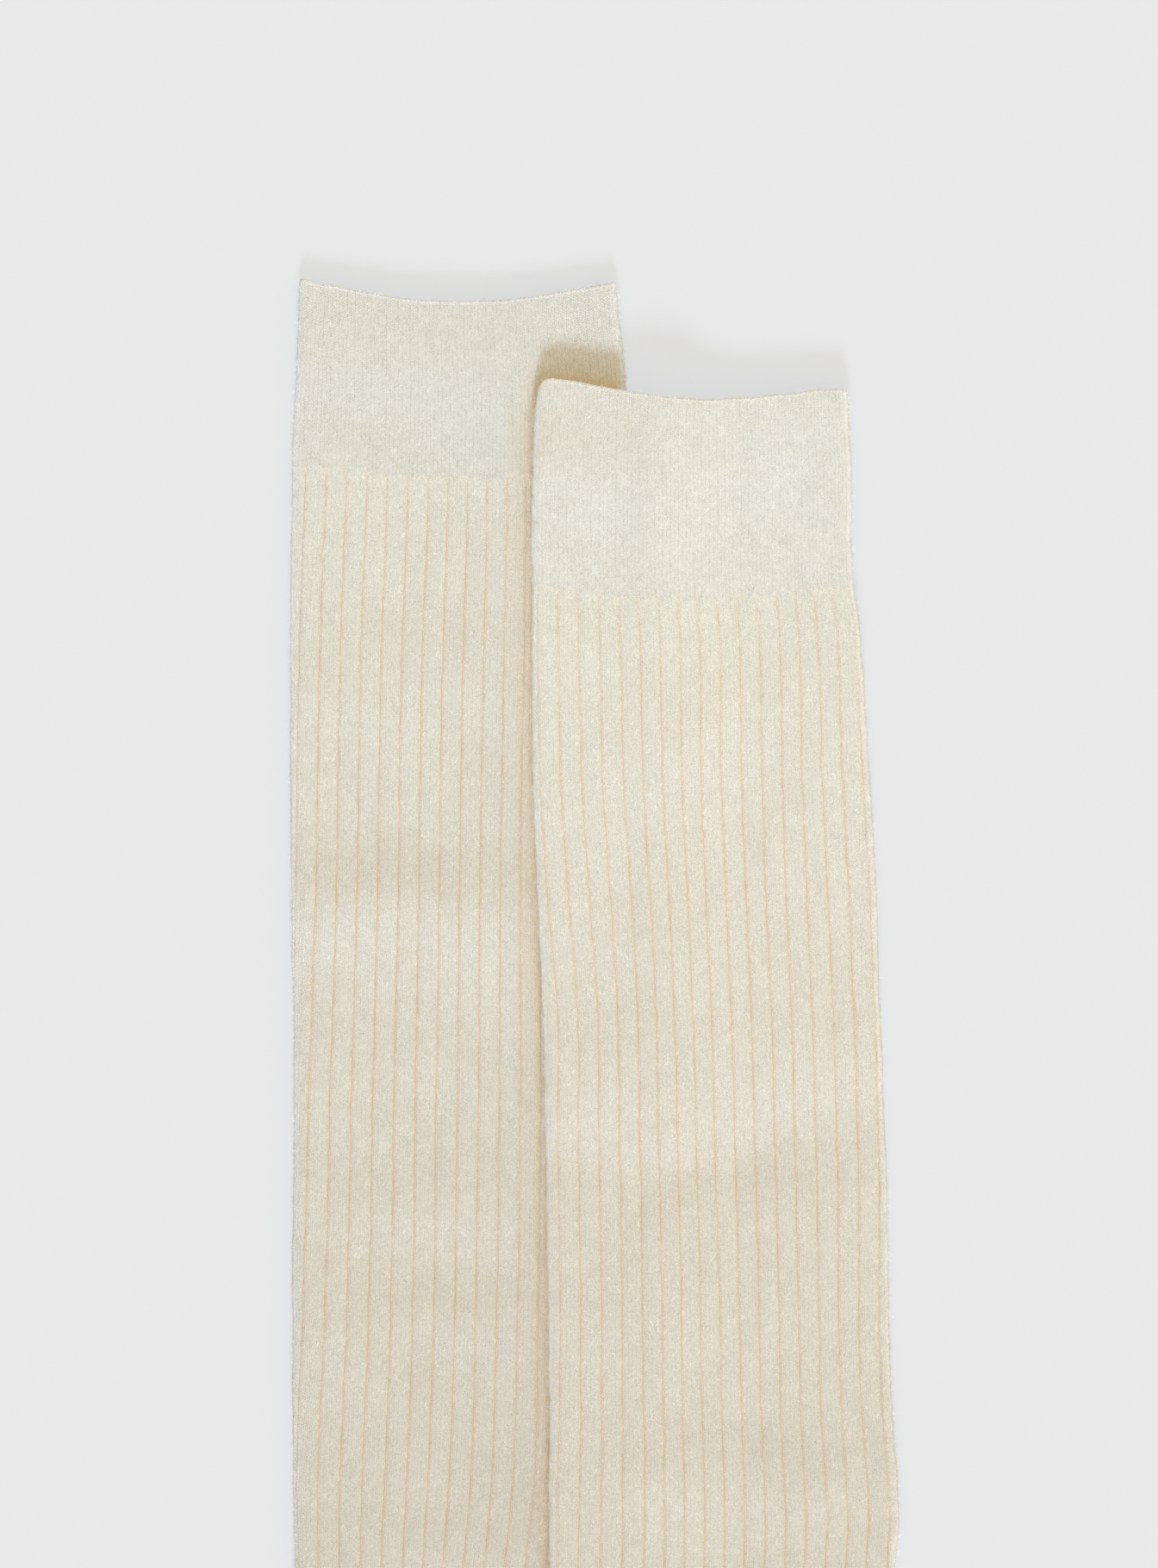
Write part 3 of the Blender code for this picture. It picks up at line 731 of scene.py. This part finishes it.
def make_heel(which, material):
    start = heel_point(which)
    first, last = radians(HEEL_ROWS[0].turn), radians(HEEL_ROWS[-1].turn)
    middle = (first + last) / 2
    gap = 0.06
    point = start + np.array((cos(middle), sin(middle))) * gap / sin((last - first) / 2)
    fan = np.linspace(0, 1, 49)
    edge = heel_plan(which, fan)
    rows = []
    for n, (share, e) in enumerate(zip(fan, edge)):
        way = (e - start) / np.linalg.norm(e - start)
        begin = point + way * 0.4
        if share in (0.0, 1.0):
            side = np.array((-way[1], way[0])) * (1 if share == 0.0 else -1)
            e = e + side * gap
        rows.append((*e, *begin, *begin, 0.0))
    rows = np.array(rows)
    knit = Knit()
    grids = {}
    for inner in (False, True):
        shares = np.linspace(-0.5, 0.5, 61 if not inner else 31)
        depth = np.full((len(rows), len(shares)), LEG_WALL if inner else 0.0)
        grid = np.broadcast_to(shares, (len(rows), len(shares)))
        if not inner:  # a shallow gore line where the heel was turned
            line = np.exp(-(((fan - 0.5) * 60) ** 2))[:, None]
            depth = depth + 0.30 * line * step(0.5, 0.42, np.abs(grid))
        plan, rise, upper, share = section(rows, np.full(len(rows), LEG_THICK), grid, depth, which)
        spread = 2 * share  # a half section has its middle at the heel's point
        points = settle(which, plan, rise, np.full((len(rows), 1), LEG_THICK), upper, np.clip(share, 0, 0.5))
        # stitches run down from the leg and turn at the gore line to run along the foot
        rel = plan - start
        axis = np.array((cos(middle), sin(middle)))
        across = rel @ np.array((-axis[1], axis[0]))
        along = rel @ axis
        turned = -np.abs(across)[..., None] * np.array((-axis[1], axis[0])) + along[..., None] * axis
        under = grid < 0
        wale = np.where(under, -turned[..., 0], turned[..., 0]) / 1.16
        course = turned[..., 1] / COURSE
        order = slice(None)
        grids[inner] = knit.grid(points[:, order], wale, course, False, inside=inner), shares
    outer, inner = grids[False][0], grids[True][0]
    half = outer[:, ::2]
    # the two fan edges and the two edges beside the heel's point
    for a, b, flip in ((outer[0], inner[0], False), (outer[-1], inner[-1], True)):
        quads = []
        for k in range(len(b) - 1):
            quads.append((a[2 * k], a[2 * k + 1], b[k], b[k]))
            quads.append((a[2 * k + 1], a[2 * k + 2], b[k + 1], b[k]))
        for q in quads:
            q = list(dict.fromkeys(q))
            add_face(knit, q, flip)
    for column, flip in ((0, True), (-1, False)):
        a, b = outer[:, column], inner[:, column]
        for k in range(len(a) - 1):
            add_face(knit, [a[k], a[k + 1], b[k + 1], b[k]], flip)
    return knit.build(f"{which}_heel_knit", material)


def add_face(knit, corners, flip):
    if flip:
        corners = corners[::-1]
    if len(corners) == 3:
        corners = [*corners, corners[2]]
    knit.faces.append(np.array([corners]))
    knit.uvs.append(np.zeros((1, 4, 2)))
    knit.rims.append(np.ones(1, bool))


def loose_fibres(piece, name, seed, material):
    """Short bent fibres that stand off the cloth along its folds and its mouth."""
    mesh = piece.data
    points, fold = np.empty(len(mesh.vertices) * 3), np.empty(len(mesh.vertices))
    mesh.vertices.foreach_get("co", points)
    mesh.attributes["fold"].data.foreach_get("value", fold)
    mesh.calc_loop_triangles()
    corners = np.empty(len(mesh.loop_triangles) * 3, int)
    mesh.loop_triangles.foreach_get("vertices", corners)
    corners = corners.reshape(-1, 3)
    a, b, c = np.moveaxis(points.reshape(-1, 3)[corners] / MM, 1, 0)
    normal = np.cross(b - a, c - a)
    size = np.maximum(np.linalg.norm(normal, axis=1), 1e-12)
    normal /= size[:, None]
    near = fold[corners].mean(1)
    weight = size / 2 * np.exp(-np.maximum(near, 0) / 1.0) * (near < 4.5) * (normal[:, 2] > -0.3)
    weight *= np.where(near < -0.2, 0.35, np.where(near < 0.4, 1.5, 1.0))  # fewer at the mouth
    count = int(weight.sum() * 13)
    rng = np.random.default_rng(seed)
    pick = rng.choice(len(corners), count, p=weight / weight.sum())
    a, b, c, normal = a[pick], b[pick], c[pick], normal[pick]
    u = rng.random((count, 2))
    u[u.sum(1) > 1] = 1 - u[u.sum(1) > 1]
    root = a + (b - a) * u[:, :1] + (c - a) * u[:, 1:] - normal * 0.06
    way = normal * (0.7, 0.7, 0.5) + rng.normal(0, 0.5, (count, 3))
    way /= np.linalg.norm(way, axis=1)[:, None]
    length = np.clip(rng.gamma(2.2, 0.32, count), 0.2, 2.0)[:, None]
    bend = rng.normal(0, 0.45, (count, 3))
    middle = root + way * length * 0.5 + bend * length * 0.08
    tip = root + way * length + bend * length * 0.30
    side = np.cross(way, rng.normal(size=(count, 3)))
    side *= rng.uniform(0.026, 0.044, (count, 1)) / np.linalg.norm(side, axis=1)[:, None]
    strand = np.stack([root - side, root + side, middle - side * 0.8, middle + side * 0.8, tip], 1)
    strand[..., 2] = np.maximum(strand[..., 2], 0.02)
    first = np.arange(count)[:, None] * 5
    quads, tips = first + (0, 1, 3, 2), first + (2, 3, 4)
    fluff = bpy.data.meshes.new(name)
    fluff.from_pydata((strand.reshape(-1, 3) * MM).tolist(), [], quads.tolist() + tips.tolist())
    fluff.materials.append(material)
    obj = bpy.data.objects.new(name, fluff)
    bpy.context.scene.collection.objects.link(obj)
    print(name, count, "fibres", count * 3, "triangles")
    return obj


# ---- materials -------------------------------------------------------------------------------------------------------
class Nodes:
    """Short ways to make nodes and join them."""

    def __init__(self, owner):
        self.tree = owner.node_tree
        self.tree.nodes.clear()

    def new(self, kind, **settings):
        node = self.tree.nodes.new(kind)
        for name, value in settings.items():
            setattr(node, name, value)
        return node

    def put(self, socket, value):
        if isinstance(value, bpy.types.NodeSocket):
            self.tree.links.new(value, socket)
        else:
            socket.default_value = value

    def math(self, operation, *values, clamp=False):
        node = self.new("ShaderNodeMath", operation=operation, use_clamp=clamp)
        for socket, value in zip(node.inputs, values):
            self.put(socket, value)
        return node.outputs[0]

    def fit(self, value, low, high, to_low=0.0, to_high=1.0, kind="SMOOTHSTEP"):
        node = self.new("ShaderNodeMapRange", interpolation_type=kind, clamp=True)
        for socket, x in zip(node.inputs, (value, low, high, to_low, to_high)):
            self.put(socket, x)
        return node.outputs[0]

    def mix(self, factor, a, b, blend="MIX"):
        node = self.new("ShaderNodeMix", data_type="RGBA", blend_type=blend, clamp_factor=True)
        self.put(node.inputs[0], factor)
        self.put(node.inputs[6], a)
        self.put(node.inputs[7], b)
        return node.outputs[2]

    def grey(self, value):
        node = self.new("ShaderNodeCombineColor")
        for socket in node.inputs[:3]:
            self.put(socket, value)
        return node.outputs[0]

    def vector(self, x, y, z=0.0):
        node = self.new("ShaderNodeCombineXYZ")
        for socket, value in zip(node.inputs, (x, y, z)):
            self.put(socket, value)
        return node.outputs[0]

    def noise(self, where, scale, detail=2.0, rough=0.5, dims="3D"):
        node = self.new("ShaderNodeTexNoise", noise_dimensions=dims)
        self.put(node.inputs["Vector"], where)
        node.inputs["Scale"].default_value = scale
        node.inputs["Detail"].default_value = detail
        node.inputs["Roughness"].default_value = rough
        return node.outputs[0]

    def random(self, where, dims="2D"):
        node = self.new("ShaderNodeTexWhiteNoise", noise_dimensions=dims)
        self.put(node.inputs["Vector"], where)
        return node.outputs[0]


# the leg's colour at its top and towards its foot: the darkening down the leg is painted light fall-off
FACE_TOP = (0.750, 0.728, 0.640)
FACE_LOW = (0.642, 0.604, 0.518)
CUFF_FACE = (0.695, 0.680, 0.614)
PLAIN_FACE = (0.662, 0.634, 0.552)  # heel and toe
CHANNEL = (0.680, 0.410, 0.185)
NAP_AND_SHEEN = (1.09, 1.12, 1.18)  # how much paler and cooler the cloth is along its folds: its nap and painted sheen
NAP_AND_SHEEN_ON_FOLD = (1.09, 1.12, 1.15)  # and once more right on the fold
FIBRE = (0.800, 0.797, 0.760)


def knit_material(name, kind, shade):
    """kind is rib, cuff or plain; shade scales all of this sock's colours, lower for the lower sock."""
    face_top, face_low, cuff_face, plain_face, channel = (
        (*(v * shade for v in colour), 1) for colour in (FACE_TOP, FACE_LOW, CUFF_FACE, PLAIN_FACE, CHANNEL)
    )
    material = bpy.data.materials.new(name)
    material.use_nodes = True
    n = Nodes(material)
    uv = n.new("ShaderNodeUVMap", uv_map="knit").outputs[0]
    split = n.new("ShaderNodeSeparateXYZ")
    n.put(split.inputs[0], uv)
    wale, course = split.outputs[0], split.outputs[1]
    place = n.new("ShaderNodeTexCoord").outputs["Object"]

    # yarn never lies quite straight
    drift = n.noise(place, 190.0, 2.0)
    drift2 = n.noise(place, 900.0, 1.0)
    wale = n.math("ADD", wale, n.math("MULTIPLY", n.math("SUBTRACT", drift, 0.5), 0.45))
    wale = n.math("ADD", wale, n.math("MULTIPLY", n.math("SUBTRACT", drift2, 0.5), 0.14))
    course = n.math("ADD", course, n.math("MULTIPLY", n.math("SUBTRACT", drift, 0.5), 1.6))
    course = n.math("ADD", course, n.math("MULTIPLY", n.math("SUBTRACT", drift2, 0.5), 0.35))

    shifted = n.math("ADD", wale, 0.5)
    x = n.math("FRACT", shifted)
    side = n.math("ABSOLUTE", n.math("SUBTRACT", n.math("MULTIPLY", x, 2.0), 1.0))  # 0 in the wale's middle, 1 beside
    number = n.math("FLOOR", shifted)
    loop = n.math("FLOOR", n.math("ADD", course, side))
    # the two legs of each stitch, leaning together
    slant = n.math("FRACT", n.math("ADD", course, side))
    lean = n.math("SUBTRACT", 1.0, n.math("POWER", n.math("SUBTRACT", n.math("MULTIPLY", slant, 2.0), 1.0), 2.0))
    hump = n.math("SUBTRACT", 1.0, n.math("POWER", n.math("SUBTRACT", n.math("MULTIPLY", side, 2.0), 1.0), 2.0))
    stitch = n.math("MULTIPLY", lean, n.fit(hump, 0.0, 1.0, 0.35, 1.0, "LINEAR"))
    stitch = n.math("ADD", n.math("MULTIPLY", stitch, 0.75), n.math("MULTIPLY", hump, 0.25))

    half = n.math("FLOOR", n.math("MULTIPLY", shifted, 2.0))  # each leg of a stitch catches the light in its own way
    cell = n.random(n.vector(half, loop))
    fibre = n.noise(place, 3400.0, 2.0, 0.6)
    lump = n.noise(place, 1300.0, 2.0, 0.6)
    nap = n.noise(place, 330.0, 2.0, 0.5)  # where loose fibres cover the stitches
    cloud = n.noise(place, 26.0, 3.0, 0.55)
    patch = n.noise(place, 110.0, 3.0, 0.6)

    if kind == "rib":
        # distance from the channel's middle, in wales
        turn = n.math("FRACT", n.math("ADD", n.math("DIVIDE", wale, float(WALES)), 0.5))
        rib = n.math("FLOOR", n.math("ADD", n.math("DIVIDE", wale, float(WALES)), 0.5))
        signed = n.math("MULTIPLY", n.math("SUBTRACT", turn, 0.5), float(WALES))
        # at the top each channel hooks to one side, into the cuff's last row
        hook = n.math("MULTIPLY", n.math("SUBTRACT", n.random(n.vector(rib, 11.0)), 0.5), 3.2)
        bend = n.math("POWER", n.fit(course, -4.0, 0.2, 0.0, 1.0, "LINEAR"), 2.0)
        signed = n.math("SUBTRACT", signed, n.math("MULTIPLY", hook, bend))
        # its loops sit unevenly to the left and right
        loops = n.random(n.vector(rib, n.math("FLOOR", course), 5.0), "3D")
        off = n.math("ABSOLUTE", n.math("ADD", signed, n.fit(loops, 0.0, 1.0, -0.11, 0.11, "LINEAR")))
        tick = n.math("FRACT", n.math("ADD", course, n.math("MULTIPLY", signed, 2.6)))
        tick = n.math("SUBTRACT", 1.0, n.math("ABSOLUTE", n.math("SUBTRACT", n.math("MULTIPLY", tick, 2.0), 1.0)))
        beat = n.random(n.vector(rib, n.math("FLOOR", n.math("MULTIPLY", course, 0.55))))
        slow = n.noise(n.vector(n.math("MULTIPLY", rib, 7.3), n.math("MULTIPLY", course, 0.06)), 1.0, 3.0, 0.6, "2D")
        thread = n.fit(off, 0.05, 0.33, 1.0, 0.0)
        strength = n.math("MULTIPLY", n.fit(tick, 0.1, 0.75, 0.12, 1.0), n.fit(beat, 0.0, 1.0, 0.45, 1.0, "LINEAR"))
        strength = n.math("MULTIPLY", strength, n.fit(slow, 0.3, 0.6, 0.50, 1.0))
        late = n.math("MULTIPLY", n.random(n.vector(rib, 7.0)), 1.8)
        started = n.fit(n.math("ADD", course, late), 0.0, -1.2, 0.0, 1.0)
        strength = n.math("MULTIPLY", n.math("MULTIPLY", thread, strength), started)
        bed = n.fit(off, 0.12, 0.30, 1.0, 0.0)
        bar = n.math("SUBTRACT", 1.0, n.math("POWER", n.math("SUBTRACT", n.math("MULTIPLY", n.math("FRACT", course), 2.0), 1.0), 2.0))
        height = n.math("ADD", n.math("MULTIPLY", stitch, n.math("SUBTRACT", 1.0, bed)), n.math("MULTIPLY", n.math("MULTIPLY", bar, 0.40), bed))
    elif kind == "cuff":
        pair = n.math("ABSOLUTE", n.math("SUBTRACT", n.math("MULTIPLY", n.math("FRACT", n.math("MULTIPLY", shifted, 0.5)), 2.0), 1.0))
        height = n.math("ADD", stitch, n.math("MULTIPLY", pair, 0.18))
    else:
        height = stitch
    height = n.math("ADD", 0.5, n.math("MULTIPLY", n.math("SUBTRACT", height, 0.5), n.fit(nap, 0.3, 0.7, 0.70 if kind == "rib" else 0.56, 0.38 if kind == "rib" else 0.28, "LINEAR")))
    height = n.math("ADD", height, n.math("MULTIPLY", n.math("SUBTRACT", fibre, 0.5), 0.55))
    height = n.math("ADD", height, n.math("MULTIPLY", n.math("SUBTRACT", lump, 0.5), 0.10))
    height = n.math("ADD", height, n.math("MULTIPLY", n.math("SUBTRACT", cell, 0.5), 0.10))

    # colour
    if kind == "rib":
        split = n.new("ShaderNodeSeparateXYZ")
        n.put(split.inputs[0], place)
        # painted light fall-off: the leg's colour darkens from face_top to face_low towards the foot
        painted_light_falloff = n.fit(split.outputs[1], 0.215, -0.12, 0.0, 1.0, "LINEAR")
        if name.startswith("upper"):  # its channels start fainter under the cuff
            strength = n.math("MULTIPLY", strength, n.fit(split.outputs[1], 0.186, 0.100, 0.45, 1.0, "LINEAR"))
        face = n.mix(painted_light_falloff, face_top, face_low)
        # the cuff's yarn ends unevenly, stitch by stitch
        ragged = n.math("MULTIPLY", n.random(n.vector(number, 3.0)), 2.4)
        face = n.mix(n.fit(n.math("ADD", course, ragged), -0.6, 0.6, 0.0, 1.0), face, cuff_face)
    else:
        face = cuff_face if kind == "cuff" else plain_face
    tone = n.math("ADD", n.fit(cloud, 0.3, 0.7, -0.009, 0.009, "LINEAR"), n.fit(patch, 0.25, 0.75, -0.006, 0.006, "LINEAR"))
    tone = n.math("ADD", tone, n.fit(cell, 0.0, 1.0, -0.028, 0.028, "LINEAR"))
    grain = 0.21 if kind == "rib" else 0.17
    tone = n.math("ADD", tone, n.fit(fibre, 0.25, 0.75, -grain, grain, "LINEAR"))
    # painted shade of the stitch relief: the low parts of each stitch and the gaps between wales are darkened in the
    # colour, besides the bump
    tone = n.math("ADD", tone, n.fit(height, 0.0, 1.0, -0.13, 0.08, "LINEAR"))
    gap = n.math("MULTIPLY", n.math("POWER", side, 3.0), n.fit(cell, 0.0, 1.0, -0.13 if kind == "cuff" else -0.06, -0.02, "LINEAR"))
    tone = n.math("ADD", tone, gap)
    # painted glints: a few stitch legs are made brighter
    tone = n.math("ADD", tone, n.fit(n.random(n.vector(half, loop, 3.0), "3D"), 0.92, 1.0, 0.0, 0.11, "LINEAR"))
    colour = n.mix(1.0, face, n.grey(n.math("ADD", tone, 1.0)), "MULTIPLY")
    # painted warm shade: where the tone is dark, between stitches, it is tinted warmer
    colour = n.mix(n.fit(tone, 0.02, -0.22, 0.0, 1.0, "LINEAR"), colour, n.mix(1.0, colour, (1.0, 0.955, 0.86, 1), "MULTIPLY"))
    # the channels' colour: their own warmer yarn, deepened as painted warm shade of the sunken groove
    if kind == "rib":
        colour = n.mix(n.math("MULTIPLY", strength, 0.80), colour, channel)

    # painted warm shade: where ambient occlusion is low, in narrow places and beside the other sock, the colour is
    # tinted warmer, standing in for light passed from yarn to yarn
    fold = n.new("ShaderNodeAttribute", attribute_name="fold", attribute_type="GEOMETRY").outputs["Fac"]
    deep = n.new("ShaderNodeAmbientOcclusion", samples=3)
    deep.inputs["Distance"].default_value = 0.009
    painted_warm_shade = n.math("MULTIPLY", n.fit(deep.outputs["AO"], 0.86, 0.42), n.fit(fold, 0.5, 2.5))
    if kind == "rib":  # less so in the channels, whose colour already holds their own yarn and painted warm shade
        painted_warm_shade = n.math("MULTIPLY", painted_warm_shade, n.fit(off, 0.15, 0.45, 0.35, 1.0))
    colour = n.mix(painted_warm_shade, colour, n.mix(1.0, colour, (1.32, 1.02, 0.62, 1), "MULTIPLY"))
    # painted light on the mouth's turned edge: it lifts the shade on the far side of the roll, cooler against the warm
    # fill; partly its pale fuzz
    edge = n.fit(fold, -0.6, -1.3)
    colour = n.mix(edge, colour, n.mix(1.0, colour, (1.26, 1.33, 1.48, 1), "MULTIPLY"))
    # painted light on the very turn of a fold, lifting its shaded side; partly the nap that stands out sideways there
    turn = n.math("MULTIPLY", n.fit(fold, 0.6, 1.4, 1.0, 0.0), n.math("SUBTRACT", 1.0, edge))
    colour = n.mix(turn, colour, n.mix(1.0, colour, (1.08, 1.09, 1.12, 1), "MULTIPLY"))
    # along the folds the colour is paler and cooler: partly the loose fibres' nap, partly painted sheen where the cloth
    # turns away
    fold = n.math("ADD", fold, n.fit(patch, 0.25, 0.75, -0.8, 0.8, "LINEAR"))
    fold = n.math("ADD", fold, n.fit(cell, 0.0, 1.0, -0.6, 0.6, "LINEAR"))
    much = 0.68 if name.startswith("lower") else 0.45  # the upper sock gets less of the pale nap and painted sheen
    colour = n.mix(n.fit(fold, 0.0, 3.2, much, 0.0), colour, n.mix(1.0, colour, (*NAP_AND_SHEEN, 1), "MULTIPLY"))
    thick = n.math("MULTIPLY", n.fit(fold, 0.6, 2.2, much, 0.0), n.math("SUBTRACT", 1.0, edge))
    colour = n.mix(thick, colour, n.mix(1.0, colour, (*NAP_AND_SHEEN_ON_FOLD, 1), "MULTIPLY"))

    shader = n.new("ShaderNodeBsdfPrincipled")
    n.put(shader.inputs["Base Color"], colour)
    n.put(shader.inputs["Roughness"], n.fit(fibre, 0.2, 0.8, 0.82, 0.97, "LINEAR"))
    shader.inputs["Specular IOR Level"].default_value = 0.25
    shader.inputs["Sheen Weight"].default_value = 0.22
    shader.inputs["Sheen Roughness"].default_value = 0.45
    shader.inputs["Sheen Tint"].default_value = (0.97, 0.985, 1.0, 1)
    bump = n.new("ShaderNodeBump")
    bump.inputs["Strength"].default_value = 0.8
    bump.inputs["Distance"].default_value = 0.0004
    n.put(bump.inputs["Height"], height)
    n.put(shader.inputs["Normal"], bump.outputs[0])
    out = n.new("ShaderNodeOutputMaterial")
    n.put(out.inputs["Surface"], shader.outputs[0])
    return material


def fibre_material(name, shade):
    material = bpy.data.materials.new(name)
    material.use_nodes = True
    n = Nodes(material)
    cloud = n.noise(n.new("ShaderNodeTexCoord").outputs["Object"], 700.0, 2.0)
    tone = n.grey(n.fit(cloud, 0.3, 0.7, 0.88, 1.06, "LINEAR"))
    shader = n.new("ShaderNodeBsdfPrincipled")
    n.put(shader.inputs["Base Color"], n.mix(1.0, (*(v * shade for v in FIBRE), 1), tone, "MULTIPLY"))
    shader.inputs["Roughness"].default_value = 0.9
    shader.inputs["Specular IOR Level"].default_value = 0.2
    n.put(n.new("ShaderNodeOutputMaterial").inputs["Surface"], shader.outputs[0])
    return material


def floor_material():
    """Pale paper that glows a little, so that shadows on it stay light and grey."""
    glows = 0.64
    paint_colour = tuple(0.60 * (min(KEY) / v) ** 0.7 for v in KEY)
    glow_colour = tuple((0.815 - (1 - glows) * c * LEVEL) / glows for c in paint_colour)
    material = bpy.data.materials.new("pale_floor")
    material.use_nodes = True
    n = Nodes(material)
    paint = n.new("ShaderNodeBsdfPrincipled")
    paint.inputs["Base Color"].default_value = (*paint_colour, 1)
    paint.inputs["Roughness"].default_value = 0.9
    paint.inputs["Specular IOR Level"].default_value = 0.1
    glow = n.new("ShaderNodeEmission")
    glow.inputs["Color"].default_value = (*glow_colour, 1)
    glow.inputs["Strength"].default_value = 1.0
    mix = n.new("ShaderNodeMixShader")
    mix.inputs[0].default_value = glows
    n.put(mix.inputs[1], paint.outputs[0])
    n.put(mix.inputs[2], glow.outputs[0])
    out = n.new("ShaderNodeOutputMaterial")
    n.put(out.inputs["Surface"], mix.outputs[0])
    return material


# ---- camera, floor and light -----------------------------------------------------------------------------------------
# a low cool key light from below the picture and a warm fill from all round; FILL and KEY are what each gives a level
# surface
ELEVATION = 24.0
LEVEL = 1.30
FILL = tuple(LEVEL * v for v in (0.755, 0.68, 0.54))
FROM_RIGHT = 0.30  # the fill is stronger from the right than from the left
KEY = tuple(LEVEL - v for v in FILL)
scene = bpy.context.scene
VIEW = (PLAN_SHIFT[0] * MM, PLAN_SHIFT[1] * MM)
LENS, SENSOR, TALL, PLANE = 150.0, 36.0, 0.455, 0.006
camera_data = bpy.data.cameras.new("camera")
camera_data.lens = LENS
camera_data.sensor_width = SENSOR
camera_data.clip_end = 20.0
camera = bpy.data.objects.new("camera", camera_data)
camera.location = (VIEW[0], VIEW[1], PLANE + TALL * LENS / SENSOR)
scene.collection.objects.link(camera)
scene.camera = camera

floor_mesh = bpy.data.meshes.new("floor")
span = 4.0
floor_mesh.from_pydata(
    [(-span, -span, -0.00005), (span, -span, -0.00005), (span, span, -0.00005), (-span, span, -0.00005)], [], [(0, 1, 2, 3)]
)
floor = bpy.data.objects.new("floor", floor_mesh)
floor_mesh.materials.append(floor_material())
scene.collection.objects.link(floor)

world = bpy.data.worlds.new("studio")
scene.world = world
world.use_nodes = True
backdrop = Nodes(world)
fill = backdrop.new("ShaderNodeBackground")
fill.inputs["Color"].default_value = (*FILL, 1)
towards = backdrop.new("ShaderNodeSeparateXYZ")
backdrop.put(towards.inputs[0], backdrop.new("ShaderNodeTexCoord").outputs["Generated"])
backdrop.put(fill.inputs["Strength"], backdrop.math("ADD", 1.0, backdrop.math("MULTIPLY", towards.outputs[0], FROM_RIGHT)))
wall = backdrop.new("ShaderNodeBackground")
wall.inputs["Color"].default_value = (0.80, 0.80, 0.80, 1)
seen = backdrop.new("ShaderNodeMixShader")
backdrop.put(seen.inputs[0], backdrop.new("ShaderNodeLightPath").outputs["Is Camera Ray"])
backdrop.put(seen.inputs[1], fill.outputs[0])
backdrop.put(seen.inputs[2], wall.outputs[0])
backdrop.put(backdrop.new("ShaderNodeOutputWorld").inputs["Surface"], seen.outputs[0])

key_data = bpy.data.lights.new("key", "SUN")
key_data.energy = max(KEY) * pi / sin(radians(ELEVATION))
key_data.angle = radians(10.5)
key_data.color = [v / max(KEY) for v in KEY]
key = bpy.data.objects.new("key", key_data)
key.rotation_euler = (radians(90.0 - ELEVATION), 0.0, 0.0)
scene.collection.objects.link(key)

scene.view_settings.view_transform = "Standard"
scene.view_settings.look = "None"
scene.view_settings.exposure = 0.0
scene.view_settings.gamma = 1.0

# ---- the pair --------------------------------------------------------------------------------------------------------
for which, shade in (("lower", 0.935), ("upper", 0.975)):
    rib_knit, cuff_knit, plain_knit = (knit_material(f"{which}_{kind}_knit", kind, shade) for kind in ("rib", "cuff", "plain"))
    fluff_material = fibre_material(f"{which}_fibres", shade)
    for name, make, material, slot in (
        ("cuff", make_cuff, cuff_knit, "plain_knit"),
        ("leg", make_leg, rib_knit, "ribbed_knit"),
        ("heel", make_heel, plain_knit, "plain_knit"),
        ("toe", make_toe, plain_knit, "plain_knit"),
    ):
        piece = make(which, material)
        fluff = loose_fibres(piece, f"{which}_{name}_fibres", len(which + name), fluff_material)
        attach(piece, "root")
        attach(fluff, "root")
        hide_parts(f"{which}_{name}")
